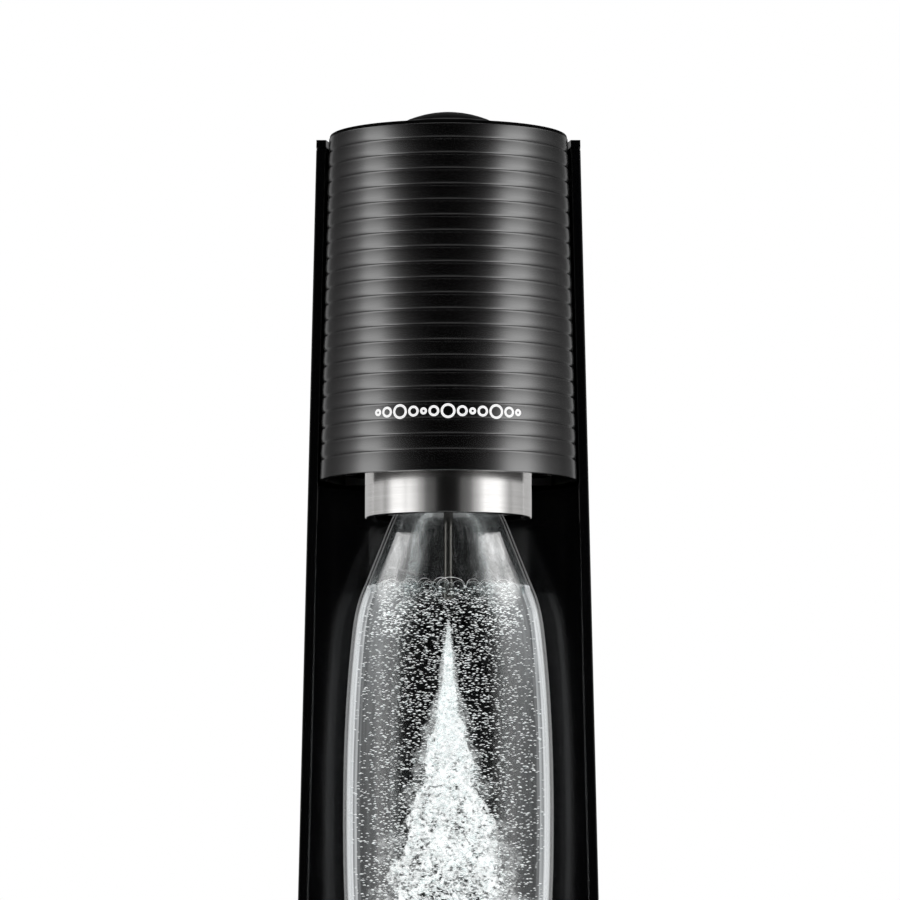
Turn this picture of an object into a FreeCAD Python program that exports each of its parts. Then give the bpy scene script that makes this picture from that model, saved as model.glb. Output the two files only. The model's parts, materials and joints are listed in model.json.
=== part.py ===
import FreeCAD, Part
import math
import os
import re
import Sketcher

# Manual soda carbonator. Millimetres, +Z up, front towards -Y. The origin is at the middle of the
# footprint, on the surface that the machine stands on. The head, collar and bottle share one
# upright axis, "the bottle axis", in front of the middle. The gas cylinder stands behind it.

SIZES = {
    # tower: half width at the floor, and how much narrower it gets per millimetre of height
    "half_low": 65.85, "taper": 0.0221, "rail_wall": 4.25, "tower_front": -30, "split_back": 28,
    "tower_back_centre": 30, "tower_low": 22, "housing_top": 416, "cap_top": 419.2, "cap_hole": 52.8,
    # concave bay behind the bottle
    "bay_radius": 63.8, "bay_centre": -45.8, "bay_wall": 2.5, "bay_top": 270.5, "shelf_back": 14,
    # base
    "base_half": 66.3, "base_reach": 31, "base_low": 4, "base_wall": 2.5, "base_round": 3,
    "plate_gap": 0.4, "plate_low": 4.2, "plate_thick": 2.5, "foot_radius": 8, "foot_sole": 7.3,
    "foot_across": 36, "foot_along": 72, "boss_across": 42, "boss_along": 58, "boss_radius": 4,
    "pad_recess": 43, "pad_radius": 42.6, "pad_low": 20.8, "pad_top": 22.6,
    # screws of one size
    "screw_head": 3.2, "screw_shank": 1.5, "screw_pilot": 1.55, "screw_clear": 1.7,
    # bottle axis and head
    "bottle_axis": -36, "head_top": 419.8, "head_low": 272, "head_radius": 50.96, "head_flare": 0.0249,
    "head_wall": 2.6, "groove_first": 411.87, "groove_pitch": 6.58, "groove_half": 0.75,
    "groove_floor": 0.4, "groove_depth": 0.9, "head_round": 1.6, "head_cut": -8, "head_ring": 405,
    "top_plate_low": 416, "top_plate_top": 418.8, "top_plate_radius": 48.3,
    "under_low": 276, "under_top": 278.5, "under_radius": 51.4, "under_back": 13,
    "mouth_radius": 36.6, "mouth_swing": 11.6,
    # button, its guide and spring
    "button_hole": 22.3, "bezel_radius": 25, "bezel_top": 424.4, "button_radius": 21.8,
    "button_low": 412.5, "button_edge": 424.5, "button_apex": 430, "button_wall": 2,
    "ceiling": 422, "ceiling_radius": 15, "button_boss": 420, "boss_pin": 5, "stem_radius": 4,
    "stem_low": 396.4, "guide_low": 400, "guide_floor": 402.5, "guide_radius": 26,
    "guide_inner": 23.8, "guide_tube": 7, "guide_tube_top": 410, "guide_bore": 4.08,
    "button_coil": 9.6, "button_wire": 0.7, "button_turns": 6,
    # lever over the valve
    "lever_pivot": 75, "lever_axis": 392, "lever_low": 388, "lever_top": 396, "lever_front": -42,
    "lever_half": 4.5, "lever_hub": 5, "lever_hub_half": 6, "lever_pin": 2.5, "pin_play": 0.05,
    "cheek_inner": 6.5, "cheek_outer": 10, "cheek_front": 69, "cheek_back": 79, "cheek_low": 385.5,
    "bracket_low": 402, "bracket_top": 405, "bracket_half": 12,
    # inner frame
    "post_inner": 42, "post_outer": 50, "post_front": 16, "post_back": 24, "post_top": 402,
    "beam_low": 398, "rung_low": 274, "rung_top": 282, "rung_back": 22,
    # gas cylinder and its cup
    "gas_axis": 54, "gas_radius": 30, "gas_low": 30, "gas_shoulder": 288, "gas_neck": 326,
    "gas_neck_radius": 13, "gas_wall": 2.2, "cup_inner": 31, "cup_outer": 33.5, "cup_floor": 25,
    "cup_top": 42, "band_low": 245, "band_top": 258, "band_thick": 0.4,
    "valve_top": 359.5, "valve_nose": 10.5, "valve_hex": 12, "valve_bore": 1.6,
    "collar_low": 326, "collar_top": 338.5, "collar_radius": 19,
    "pin_radius": 1.5, "pin_low": 350, "pin_top": 361,
    # quick-connect yoke and handle
    "yoke_low": 341, "yoke_waist": 356, "yoke_roof": 361.7, "yoke_top": 370, "yoke_radius": 20,
    "yoke_neck": 12, "yoke_bore": 14.5, "wing_low": 350, "wing_top": 368, "wing_back": 36,
    "yoke_bridge": 8, "port_height": 365, "seal_inner": 4, "seal_outer": 9.5, "seal_low": 359.8,
    "plunger_radius": 2.5, "plunger_low": 361.3, "plunger_shoulder": 385, "plunger_top": 387.6,
    "plunger_head": 6, "plunger_coil": 4.6, "plunger_wire": 0.5,
    "handle_axis": 352, "handle_inner": 23.5, "handle_outer": 28.5, "handle_half": 2.5,
    "handle_hub": 4, "handle_pin": 2, "tab_half": 9, "tab_drop": 7,
    # rear cover and its latch
    "cover_front": 28.4, "cover_low": 22.6, "cover_top": 415.6, "cover_wall": 2.5,
    "latch_half": 9, "latch_low": 390, "latch_top": 400, "latch_face": 86.9, "latch_gap": 0.5,
    "latch_lip": 82.2, "latch_lip_thick": 1, "latch_lip_half": 11,
    # cradle that carries the collar and bottle
    "cradle_axis": 330, "cradle_pivot": -5, "cradle_radius": 34.4, "cradle_inner": 30,
    "cradle_low": 262, "cradle_ceiling": 300, "cradle_roof": 304, "cradle_hole": 16,
    "arm_inner": 30, "arm_outer": 35, "arm_front": -30, "arm_back": 3, "arm_top": 338,
    "trunnion": 3, "trunnion_end": 49, "trunnion_flange": 5, "trunnion_bore": 1.2,
    "cheek_plate_inner": 36, "cheek_plate_outer": 39.5, "cheek_plate_front": -24,
    "cheek_plate_top": 345, "foot_inner": 36.5, "foot_outer": 45.5, "foot_front": -42,
    "foot_back": -12, "foot_height": 5, "back_plate_front": 13, "back_plate_low": 285,
    # stainless collar
    "collar_steel": 35.4, "collar_steel_low": 256, "collar_steel_top": 291, "collar_lip": 31,
    "collar_corner": 1,
    # nozzle
    "nozzle_low": 290, "nozzle_radius": 15.8, "nozzle_flange": 18, "nozzle_flange_top": 308,
    "nozzle_stack": 10, "nozzle_top": 322, "tube_radius": 2, "tube_bore": 1.2, "tube_top": 296,
    "tube_low": 227, "tip_low": 221, "tip_radius": 2.5, "mouth_seal_inner": 5,
    "mouth_seal_outer": 14, "mouth_seal_low": 287.3, "jaw_low": 276, "jaw_top": 282,
    "jaw_inner": 14.3, "relief_across": 24.5, "relief_radius": 5.5, "relief_bore": 3,
    "relief_top": 322, "relief_roof": 318, "poppet_low": 304.4, "poppet_top": 309,
    "poppet_radius": 2.8, "relief_coil": 1.9, "relief_wire": 0.35,
    # pipes
    "pipe_radius": 2, "pipe_bend": 5, "union_radius": 4, "pipe_front": 8, "pipe_across": 46,
    "link_across": 22, "link_height": 330,
    # bottle
    "bottle_top": 287, "bottle_low": 29.5, "neck_radius": 13.5, "neck_ring": 17,
    "ring_low": 270, "ring_top": 273, "bottle_wall": 1.3, "cup_low": 27.5, "cup_height": 17.5,
    "cup_radius": 41.4, "cup_wall": 1.4,
}

# outer radius of the bottle at heights from the shoulder down to the base
BOTTLE_CURVE = (
    ("shoulder_a", 264.5, 17.6), ("shoulder_b", 257.4, 23.2), ("shoulder_c", 243.0, 29.2),
    ("shoulder_d", 229.7, 34.55), ("shoulder_e", 221.2, 38.0), ("shoulder_f", 211.5, 40.2),
    ("body_a", 196.0, 41.9), ("body_b", 178.8, 43.2), ("body_c", 158.0, 44.15),
    ("body_d", 136.4, 44.55), ("body_e", 119.0, 44.5), ("body_f", 102.6, 44.2),
    ("body_g", 80.0, 43.2), ("body_h", 62.0, 41.9), ("body_i", 48.0, 40.4),
)

doc = FreeCAD.newDocument("SodaCarbonator")
sheet = doc.addObject("Spreadsheet::Sheet", "Sizes")
cells = dict(SIZES)
for name, height, radius in BOTTLE_CURVE:
    cells[name + "_height"], cells[name + "_radius"] = height, radius
for row, (alias, number) in enumerate(cells.items(), 1):
    sheet.set(f"A{row}", alias)
    sheet.set(f"B{row}", str(number))
    sheet.setAlias(f"B{row}", alias)
doc.recompute()

WORD = re.compile(r"[a-z][a-z_]*")
UPRIGHT, ALONG_X, ALONG_Y = ((0, 0, 1), 0), ((0, 1, 0), 90), ((1, 0, 0), -90)
SIDES = (1, -1)
nodes = {}


def linked(text):
    """An expression with each size's name pointing into the sheet."""
    return WORD.sub(lambda w: "Sizes." + w[0] if w[0] in cells else w[0], str(text))


def value(text):
    """The number that an expression of sizes stands for."""
    return float(sheet.evalExpression(linked(text)))


def place(item, at, turn=UPRIGHT):
    """Puts an object at a point given by three expressions, turned about an axis."""
    axis, angle = turn
    item.Placement = FreeCAD.Placement(FreeCAD.Vector(), FreeCAD.Rotation(FreeCAD.Vector(*axis), angle))
    for letter, text in zip("xyz", at):
        item.setExpression("Placement.Base." + letter, linked(text))
    return item


def primitive(kind, at, turn=UPRIGHT, **sizes):
    item = doc.addObject("Part::" + kind, kind)
    for key, text in sizes.items():
        item.setExpression(key, linked(text))
    return place(item, at, turn)


def box(x, y, z):
    """A box between two expressions on each axis."""
    spans = {k: f"({b}) - ({a})" for k, (a, b) in zip(("Length", "Width", "Height"), (x, y, z))}
    return primitive("Box", (x[0], y[0], z[0]), **spans)


def rod(radius, low, high, x=0, y="bottle_axis"):
    """An upright cylinder between two heights."""
    return primitive("Cylinder", (x, y, low), Radius=radius, Height=f"({high}) - ({low})")


def cross_rod(radius, left, right, y, z):
    """A cylinder along X."""
    return primitive("Cylinder", (left, y, z), ALONG_X, Radius=radius, Height=f"({right}) - ({left})")


def deep_rod(radius, front, back, x, z):
    """A cylinder along Y."""
    return primitive("Cylinder", (x, front, z), ALONG_Y, Radius=radius, Height=f"({back}) - ({front})")


def cone(low_radius, high_radius, low, high, x=0, y="bottle_axis"):
    return primitive("Cone", (x, y, low), Radius1=low_radius, Radius2=high_radius,
                     Height=f"({high}) - ({low})")


def join(*items):
    item = doc.addObject("Part::MultiFuse", "Join")
    item.Shapes, item.Refine = list(items), True
    return item


def cut(base, *tools):
    item = doc.addObject("Part::Cut", "Cut")
    item.Base, item.Tool = base, tools[0] if len(tools) == 1 else join(*tools)
    item.Refine = True
    return item


def overlap(*items):
    item = doc.addObject("Part::MultiCommon", "Overlap")
    item.Shapes, item.Refine = list(items), True
    return item


def group(*items):
    """Separate identical solids kept as one sub-part."""
    item = doc.addObject("Part::Compound", "Group")
    item.Links = list(items)
    return item


def tube(outer, inner, low, high, x=0, y="bottle_axis"):
    return cut(rod(outer, low, high, x, y), rod(inner, f"{low} - 1", f"{high} + 1", x, y))


def node(name, item):
    """Names a finished sub-part."""
    item.Label = name
    nodes[name] = item
    return item


def turned(outline, y="bottle_axis"):
    """A body of revolution about the upright line through (0, y). Each corner of the outline is
    (radius, height), or (radius, height, sagitta) where an arc leads to it: a positive sagitta
    bulges to the left of the way the outline runs."""
    body = doc.addObject("PartDesign::Body", "Turned")
    sketch = body.newObject("Sketcher::SketchObject", "Outline")
    plane = next(f for f in body.Origin.OriginFeatures if f.Role == "XZ_Plane")
    sketch.AttachmentSupport, sketch.MapMode = [(plane, "")], "FlatFace"
    corners = [(value(c[0]), value(c[1])) for c in outline]
    for i, (x, z) in enumerate(corners):
        start = FreeCAD.Vector(*corners[i - 1], 0)
        end = FreeCAD.Vector(x, z, 0)
        if len(outline[i]) == 3:
            way = (end - start).normalize()
            middle = (start + end) * 0.5 + FreeCAD.Vector(-way.y, way.x, 0) * value(outline[i][2])
            sketch.addGeometry(Part.Arc(start, middle, end), False)
        else:
            sketch.addGeometry(Part.LineSegment(start, end), False)
    ends = []
    for i, corner in enumerate(outline):
        # an arc runs anticlockwise, so its first point is the outline's end where it bends right
        reverse = len(corner) == 3 and value(corner[2]) > 0
        ends.append((2, 1) if reverse else (1, 2))
    for i, corner in enumerate(outline):
        after = (i + 1) % len(outline)
        sketch.addConstraint(Sketcher.Constraint("Coincident", i, ends[i][1], after, ends[after][0]))
        for kind, text in (("DistanceX", corner[0]), ("DistanceY", corner[1])):
            if kind == "DistanceX" and abs(value(text)) < 1e-9:
                sketch.addConstraint(Sketcher.Constraint("PointOnObject", i, ends[i][1], -2))
                continue
            number = sketch.addConstraint(
                Sketcher.Constraint(kind, -1, 1, i, ends[i][1], value(text)))
            sketch.setExpression(f"Constraints[{number}]", linked(text))
        if len(corner) == 3:
            before = outline[i - 1]
            chord = f"((({corner[0]}) - ({before[0]}))^2 + (({corner[1]}) - ({before[1]}))^2)"
            bow = f"abs({corner[2]})"
            radius = f"{chord} / (8 * {bow}) + {bow} / 2"
            number = sketch.addConstraint(Sketcher.Constraint("Radius", i, value(radius)))
            sketch.setExpression(f"Constraints[{number}]", linked(radius))
    spin = body.newObject("PartDesign::Revolution", "Turn")
    spin.Profile, spin.ReferenceAxis, spin.Angle = sketch, (sketch, ["V_Axis"]), 360
    body.Tip = spin
    return place(body, (0, y, 0))


def half(height, inset=0):
    """Half the tower's width at a height."""
    return f"(half_low - taper * ({height}) - ({inset}))"


def tower(inset, low, high, front="tower_front", back="tower_back_centre"):
    """The tapering body: a wedge with straight sides."""
    wide, narrow = half(low, inset), half(high, inset)
    return primitive(
        "Wedge", (0, 0, 0), ((1, 0, 0), 90), Xmin=f"-{wide}", Xmax=wide, X2min=f"-{narrow}",
        X2max=narrow, Ymin=low, Ymax=high, Zmin=f"-({back})", Zmax=f"-({front})",
        Z2min=f"-({back})", Z2max=f"-({front})")


def rounded_tower(inset, low, high, front):
    """The same with its round back, a cone that carries on from the straight sides."""
    back = cone(half(low, inset), half(high, inset), low, high, y="tower_back_centre")
    return join(tower(inset, low, high, front), back)


def stadium(radius, low, high):
    """A slab with half-round ends, centred on the origin."""
    return join(
        box((f"-({radius})", radius), ("-base_reach", "base_reach"), (low, high)),
        rod(radius, low, high, y="-base_reach"), rod(radius, low, high, y="base_reach"))


def screw(x, y, seat, head, shank, head_radius="screw_head"):
    """An upright screw: its head lies below the seat, its shank above it."""
    return join(rod(head_radius, f"{seat} - {head}", seat, x, y),
                rod("screw_shank", seat, f"{seat} + {shank}", x, y))


def at_corners(make, across, along):
    return [make(f"{i} * {across}", f"{j} * {along}") for i in SIDES for j in SIDES]


def coil(name, radius, wire, low, high, turns, x=0, y="bottle_axis"):
    """A round-wire compression spring between two heights."""
    r, w, bottom, top = value(radius), value(wire), value(low), value(high)
    length = top - bottom - 2 * w
    path = Part.makeHelix(length / turns, length, r)
    ring = Part.Wire([Part.makeCircle(w, FreeCAD.Vector(r, 0, 0), FreeCAD.Vector(0, 1, 0))])
    item = doc.addObject("Part::Feature", name)
    item.Shape = Part.Wire(path).makePipeShell([ring], True, True)
    return place(item, (x, y, f"({low}) + ({wire})"))


def pipe(name, points, radius, bore):
    """A pipe through points, with a bend of one radius at each turn."""
    spots = [FreeCAD.Vector(*(value(t) for t in p)) for p in points]
    bend, edges, at = value("pipe_bend"), [], spots[0]
    for before, corner, after in zip(spots, spots[1:], spots[2:]):
        come, go = (before - corner).normalize(), (after - corner).normalize()
        reach = bend / math.tan(come.getAngle(go) / 2)
        enter, leave = corner + come * reach, corner + go * reach
        inward = (come + go).normalize()
        middle = corner + inward * (bend / math.sin(come.getAngle(go) / 2) - bend)
        edges += [Part.LineSegment(at, enter).toShape(), Part.Arc(enter, middle, leave).toShape()]
        at = leave
    edges.append(Part.LineSegment(at, spots[-1]).toShape())
    path = Part.Wire(edges)
    way = spots[1] - spots[0]
    skins = [path.makePipeShell([Part.Wire([Part.makeCircle(value(r), spots[0], way)])], True, False)
             for r in (radius, bore)]
    item = doc.addObject("Part::Feature", name)
    item.Shape = skins[0].cut(skins[1])
    return place(item, (0, 0, 0))


def base():
    outer = stadium("base_half", "base_low", "tower_low")
    doc.recompute()
    rim = [i for i, e in enumerate(outer.Shape.Edges, 1)
           if abs(e.BoundBox.ZMin - value("tower_low")) < 1e-4]
    rounded = doc.addObject("Part::Fillet", "Rounded")
    rounded.Base, radius = outer, value("base_round")
    rounded.Edges = [(i, radius, radius) for i in rim]
    roof = "tower_low - base_wall"
    bosses = at_corners(lambda x, y: rod("boss_radius", "plate_low + plate_thick", f"{roof} + 0.5", x, y),
                        "boss_across", "boss_along")
    pilots = at_corners(lambda x, y: rod("screw_pilot", "plate_low", "base_low + 12", x, y),
                        "boss_across", "boss_along")
    shell = join(cut(rounded, stadium("base_half - base_wall", "base_low - 1", roof)), *bosses)
    holes = [rod("screw_clear", "base_low", "tower_low + 1", f"{i} * 46", 20) for i in SIDES]
    node("base_shell", cut(shell, rod("pad_recess", "pad_low", "tower_low + 5"), *pilots, *holes))

    plate_top = "plate_low + plate_thick"
    clear = at_corners(lambda x, y: rod("screw_clear", "plate_low - 1", f"{plate_top} + 1", x, y),
                       "boss_across", "boss_along")
    sinks = at_corners(lambda x, y: rod("screw_head + 0.3", "plate_low - 1", "plate_low + 1.2", x, y),
                       "boss_across", "boss_along")
    plate = stadium("base_half - base_wall - plate_gap", "plate_low", plate_top)
    node("base_plate", cut(plate, *clear, *sinks))
    node("base_screws", group(*at_corners(
        lambda x, y: screw(x, y, "plate_low + 1.2", 1.1, 9), "boss_across", "boss_along")))
    node("rubber_feet", group(*at_corners(
        lambda x, y: join(rod("foot_radius", 0.8, "plate_low", x, y),
                          cone("foot_sole", "foot_radius", 0, 0.8, x, y)),
        "foot_across", "foot_along")))
    node("bottle_pad", cut(rod("pad_radius", "pad_low", "pad_top"),
                           rod(12, "pad_top - 0.8", "pad_top + 1")))


def front_housing():
    sides = cut(tower(0, "tower_low", "housing_top", back="split_back"),
                tower("rail_wall", "tower_low - 5", "housing_top + 5", "tower_front - 5", "split_back + 5"))
    bay_low, bay_high = (f"(bay_radius - taper * ({z}))" for z in ("tower_low", "bay_top"))
    skin = cone(f"{bay_low} + bay_wall", f"{bay_high} + bay_wall", "tower_low", "bay_top", y="bay_centre")
    shelf = box(("-60", "60"), ("tower_front", "shelf_back"), ("bay_top - bay_wall", "bay_top"))
    inside = tower(1, "tower_low", "bay_top", back="split_back")
    room = cone("bay_radius - taper * (tower_low - 5)", "bay_radius - taper * (bay_top + 5)",
                "tower_low - 5", "bay_top + 5", y="bay_centre")
    wall = overlap(join(skin, shelf), inside)
    node("front_housing", cut(join(sides, wall), room))
    cap = rounded_tower(0, "housing_top", "cap_top", "tower_front")
    node("tower_top_cap", cut(cap, rod("cap_hole", "housing_top - 5", "cap_top + 5")))


def inner_frame():
    posts = [box((f"{i} * 46 - 4", f"{i} * 46 + 4"), ("post_front", "post_back"),
                 ("tower_low", "post_top")) for i in SIDES]
    beam = box(("-post_outer", "post_outer"), ("post_front", "post_back"), ("beam_low", "post_top"))
    rung = box(("-post_outer", "post_outer"), ("post_front", "rung_back"), ("rung_low", "rung_top"))
    low = [rod("screw_pilot", "tower_low - 1", "tower_low + 10", f"{i} * 46", 20) for i in SIDES]
    high = [deep_rod("screw_pilot", "post_back - 7", "post_back + 1", f"{i} * 46", 359) for i in SIDES]
    node("inner_frame", cut(join(*posts, beam, rung), *low, *high))
    node("frame_screws", group(*(
        screw(f"{i} * 46", 20, "tower_low - base_wall", 1.9, 11.5) for i in SIDES)))


def head():
    def radius(height):
        return f"(head_radius + head_flare * (head_top - ({height})))"

    outline = [("head_radius - head_round", "head_top"),
               (radius("head_top - head_round"), "head_top - head_round", "0.29 * head_round")]
    for k in range(21):
        middle = f"(groove_first - {k} * groove_pitch)"
        floor = f"{radius(middle)} - groove_depth"
        outline += [(radius(f"{middle} + groove_half"), f"{middle} + groove_half"),
                    (floor, f"{middle} + groove_floor"), (floor, f"{middle} - groove_floor"),
                    (radius(f"{middle} - groove_half"), f"{middle} - groove_half")]
    outline += [(radius("head_low + 0.6"), "head_low + 0.6"), (f"{radius('head_low')} - 0.6", "head_low"),
                (f"{radius('head_low')} - head_wall", "head_low"),
                ("head_radius - head_wall", "head_top")]
    shell = turned(outline)
    opening = box(("-80", "80"), ("head_cut", "60"), ("head_low - 5", "head_ring"))
    node("head_shell", cut(shell, opening))
    node("head_top_plate", tube("top_plate_radius", "button_hole", "top_plate_low", "top_plate_top"))
    node("button_bezel", turned([
        ("button_hole", "top_plate_top"), ("bezel_radius", "top_plate_top"),
        ("bezel_radius", "bezel_top - 1.2"), ("bezel_radius - 1.2", "bezel_top", "-0.29 * 1.2"),
        ("button_hole + 0.4", "bezel_top"), ("button_hole", "bezel_top - 0.4")]))

    swing = "bottle_axis - mouth_swing"
    mouth = join(rod("mouth_radius", "under_low - 1", "under_top + 1"),
                 rod("mouth_radius", "under_low - 1", "under_top + 1", y=swing),
                 box(("-mouth_radius", "mouth_radius"), (swing, "bottle_axis"),
                     ("under_low - 1", "under_top + 1")))
    spots = [(f"{i} * 42", y) for i in SIDES for y in (-20, -34)]
    clear = [rod("screw_clear", "under_low - 1", "under_top + 1", x, y) for x, y in spots]
    sinks = [rod("screw_head + 0.3", "under_low - 1", "under_low + 1.4", x, y) for x, y in spots]
    behind = box(("-80", "80"), ("under_back", "60"), ("under_low - 1", "under_top + 1"))
    node("head_bottom_plate", cut(rod("under_radius", "under_low", "under_top"),
                                  mouth, behind, *clear, *sinks))
    node("head_screws", group(*(screw(x, y, "under_low + 1.4", 1.2, 5.8) for x, y in spots)))

    cheeks, feet, holes = [], [], []
    for i in SIDES:
        inner, outer = sorted((f"{i} * cheek_plate_inner", f"{i} * cheek_plate_outer"), key=value)
        cheeks.append(box((inner, outer), ("cheek_plate_front", "post_front"),
                          ("under_top", "cheek_plate_top")))
        inner, outer = sorted((f"{i} * foot_inner", f"{i} * foot_outer"), key=value)
        feet.append(box((inner, outer), ("foot_front", "foot_back"),
                        ("under_top", "under_top + foot_height")))
    back = box(("-post_outer", "post_outer"), ("back_plate_front", "post_front"),
               ("back_plate_low", "cheek_plate_top"))
    holes = [rod("screw_pilot", "under_top - 1", "under_top + 4.7", x, y) for x, y in spots]
    holes.append(cross_rod("trunnion + pin_play", -45, 45, "cradle_pivot", "cradle_axis"))
    node("head_frame", cut(join(*cheeks, *feet, back), *holes))
    pins = []
    for i in SIDES:
        left, right = sorted((f"{i} * (arm_inner + 0.2)", f"{i} * trunnion_end"), key=value)
        inner, outer = sorted((f"{i} * cheek_plate_outer", f"{i} * (cheek_plate_outer + 1.5)"), key=value)
        pins.append(cut(join(cross_rod("trunnion", left, right, "cradle_pivot", "cradle_axis"),
                             cross_rod("trunnion_flange", inner, outer, "cradle_pivot", "cradle_axis")),
                        cross_rod("trunnion_bore", f"{left} - 1", f"{right} + 1",
                                  "cradle_pivot", "cradle_axis")))
    node("cradle_pins", group(*pins))


def button():
    dome = "button_apex - button_edge"
    node("button_cap", turned([
        (0, "button_apex"), ("button_radius", "button_edge", f"0.235 * ({dome})"),
        ("button_radius", "button_low"), ("button_radius - button_wall", "button_low"),
        ("button_radius - button_wall", "ceiling - 1"), ("ceiling_radius", "ceiling"),
        ("boss_pin", "ceiling"), ("boss_pin", "button_boss"), (0, "button_boss")]))
    node("button_stem", rod("stem_radius", "stem_low", "button_boss"))
    node("button_guide", cut(
        join(rod("guide_radius", "guide_low", "guide_floor"),
             tube("guide_radius", "guide_inner", "guide_low", "top_plate_low"),
             rod("guide_tube", "guide_low", "guide_tube_top")),
        rod("guide_bore", "guide_low - 1", "guide_tube_top + 1")))
    node("button_spring", coil("ButtonCoil", "button_coil", "button_wire", "guide_floor + 0.05",
                               "ceiling - 0.05", value("button_turns")))


def lever():
    bar = box(("-lever_half", "lever_half"), ("lever_front", "lever_pivot"), ("lever_low", "lever_top"))
    hub = cross_rod("lever_hub", "-lever_hub_half", "lever_hub_half", "lever_pivot", "lever_axis")
    bore = cross_rod("lever_pin + pin_play", -20, 20, "lever_pivot", "lever_axis")
    node("actuator_lever", cut(join(bar, hub), bore))
    plate = box(("-bracket_half", "bracket_half"), ("post_front", "cheek_back"),
                ("bracket_low", "bracket_top"))
    cheeks = [box(tuple(sorted((f"{i} * cheek_inner", f"{i} * cheek_outer"), key=value)),
                  ("cheek_front", "cheek_back"), ("cheek_low", "bracket_low")) for i in SIDES]
    hole = cross_rod("lever_pin + 0.02", -20, 20, "lever_pivot", "lever_axis")
    node("lever_bracket", cut(join(plate, *cheeks), hole))
    node("lever_pivot_pin", cross_rod("lever_pin", "-cheek_outer - 1", "cheek_outer + 1",
                                      "lever_pivot", "lever_axis"))


def gas_cylinder():
    y = "gas_axis"
    node("cylinder_cup", join(rod("cup_outer", "tower_low", "cup_floor", y=y),
                              tube("cup_outer", "cup_inner", "tower_low", "cup_top", y=y)))
    rise = "gas_neck - gas_shoulder"
    node("cylinder_body", turned([
        (0, "gas_low + 3"), ("gas_radius - 10", "gas_low + 3"), ("gas_radius - 6", "gas_low"),
        ("gas_radius - 3", "gas_low"), ("gas_radius", "gas_low + 3", "-0.88"),
        ("gas_radius", "gas_shoulder"), ("gas_neck_radius", "gas_neck", f"-0.116 * ({rise})"),
        ("gas_neck_radius", "gas_neck + 4"), ("valve_hex - 3", "gas_neck + 4"),
        ("valve_hex - 3", "gas_neck - 6"), ("gas_radius - gas_wall", "gas_shoulder - 4", f"0.13 * ({rise})"),
        ("gas_radius - gas_wall", "gas_low + 7"), ("gas_radius - 6", "gas_low + 5.5"),
        (0, "gas_low + 5.5")], y))
    hexagon = doc.addObject("Part::Prism", "Hexagon")
    hexagon.Polygon = 6
    hexagon.setExpression("Circumradius", linked("valve_hex"))
    hexagon.setExpression("Height", "9")
    place(hexagon, (0, y, "collar_top + 1"))
    valve = join(rod("valve_hex - 3", "gas_neck - 5", "gas_neck + 4", y=y),
                 rod("valve_hex", "gas_neck + 4", "collar_top + 1", y=y), hexagon,
                 rod("valve_nose", "collar_top + 9", "valve_top - 0.8", y=y),
                 cone("valve_nose", "valve_nose - 0.8", "valve_top - 0.8", "valve_top", y=y))
    node("cylinder_valve", cut(valve, rod("valve_bore", "pin_low - 3", "valve_top + 1", y=y)))
    node("cylinder_collar", turned([
        ("gas_neck_radius + 0.1", "collar_low"), ("collar_radius - 3", "collar_low"),
        ("collar_radius", "collar_low + 4"), ("collar_radius", "collar_top - 1"),
        ("collar_radius - 1", "collar_top", "-0.29"), ("valve_hex + 0.1", "collar_top"),
        ("valve_hex + 0.1", "gas_neck + 4"), ("gas_neck_radius + 0.1", "gas_neck + 4")], y))
    node("cylinder_band", tube("gas_radius + band_thick", "gas_radius", "band_low", "band_top", y=y))
    node("valve_pin", rod("pin_radius", "pin_low", "pin_top", y=y))


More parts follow.
